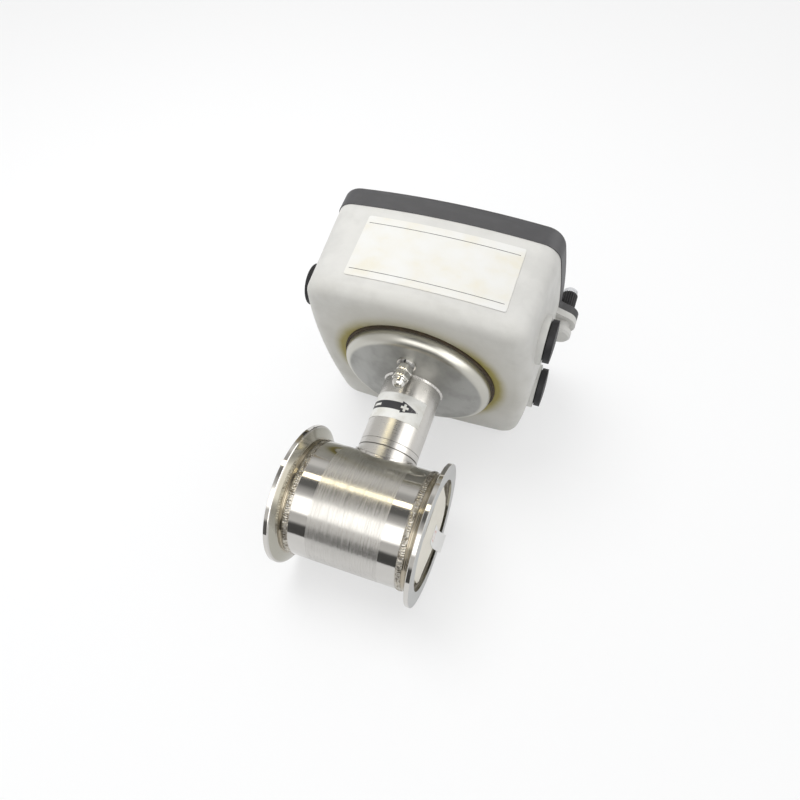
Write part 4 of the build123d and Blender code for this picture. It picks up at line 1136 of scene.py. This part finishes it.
def add_camera(scene, focal):
    """Camera at the photograph's place and angle."""
    lens = bpy.data.cameras.new("camera")
    lens.sensor_width = SENSOR_WIDTH
    lens.lens = focal
    lens.shift_x, lens.shift_y = CAMERA_SHIFT
    lens.clip_start = 0.01
    camera = bpy.data.objects.new("camera", lens)
    scene.collection.objects.link(camera)
    camera.matrix_world = look_matrix(CAMERA_PLACE, CAMERA_RIGHT, CAMERA_DOWN, CAMERA_FORWARD)
    scene.camera = camera


class FLOWMETER_OT_stage(bpy.types.Operator):
    """Set up the table that the meter lies on, the light and the camera"""

    bl_idname = "flowmeter.stage"
    bl_label = "Stage"

    def execute(self, context):
        scene = context.scene
        settings = scene.flowmeter_stage
        add_table(settings)
        add_key_light(scene, settings.key_power)
        scene.world = studio_world(settings.ambient)
        add_camera(scene, settings.focal)
        scene.view_settings.view_transform = "Standard"
        return {"FINISHED"}


# Add-on


class FLOWMETER_PT_panel(bpy.types.Panel):
    """Lists the steps that dress the flow meter"""

    bl_label = "Flow meter"
    bl_idname = "FLOWMETER_PT_panel"
    bl_space_type = "VIEW_3D"
    bl_region_type = "UI"
    bl_category = "Flow meter"

    def draw(self, context):
        for operator in OPERATORS:
            self.layout.operator(operator.bl_idname)
        for name, group in SETTINGS.items():
            box = self.layout.box()
            for key in group.__annotations__:
                box.prop(getattr(context.scene, name), key)


OPERATORS = (
    FLOWMETER_OT_stage,
    FLOWMETER_OT_steel,
    FLOWMETER_OT_welds,
    FLOWMETER_OT_plate,
    FLOWMETER_OT_earth_terminal,
    FLOWMETER_OT_housing,
    FLOWMETER_OT_closures,
    FLOWMETER_OT_seals,
    FLOWMETER_OT_labels,
    FLOWMETER_OT_outlet_paper,
    FLOWMETER_OT_measuring_tube,
    FLOWMETER_OT_connection_board,
)
SETTINGS = {
    "flowmeter_steel": SteelSettings,
    "flowmeter_weld": WeldSettings,
    "flowmeter_housing": HousingSettings,
    "flowmeter_print": PrintSettings,
    "flowmeter_paper": PaperSettings,
    "flowmeter_stage": StageSettings,
}


def register():
    """Register the settings, the operators and the panel."""
    for name, group in SETTINGS.items():
        bpy.utils.register_class(group)
        setattr(bpy.types.Scene, name, PointerProperty(type=group))
    for cls in (*OPERATORS, FLOWMETER_PT_panel):
        bpy.utils.register_class(cls)


def unregister():
    """Take away what register() added."""
    for cls in (FLOWMETER_PT_panel, *reversed(OPERATORS)):
        bpy.utils.unregister_class(cls)
    for name, group in SETTINGS.items():
        delattr(bpy.types.Scene, name)
        bpy.utils.unregister_class(group)


def main():
    """Dress the meter step by step."""
    register()
    for operator in OPERATORS:
        group, name = operator.bl_idname.split(".")
        getattr(getattr(bpy.ops, group), name)()


if __name__ == "__main__":
    main()
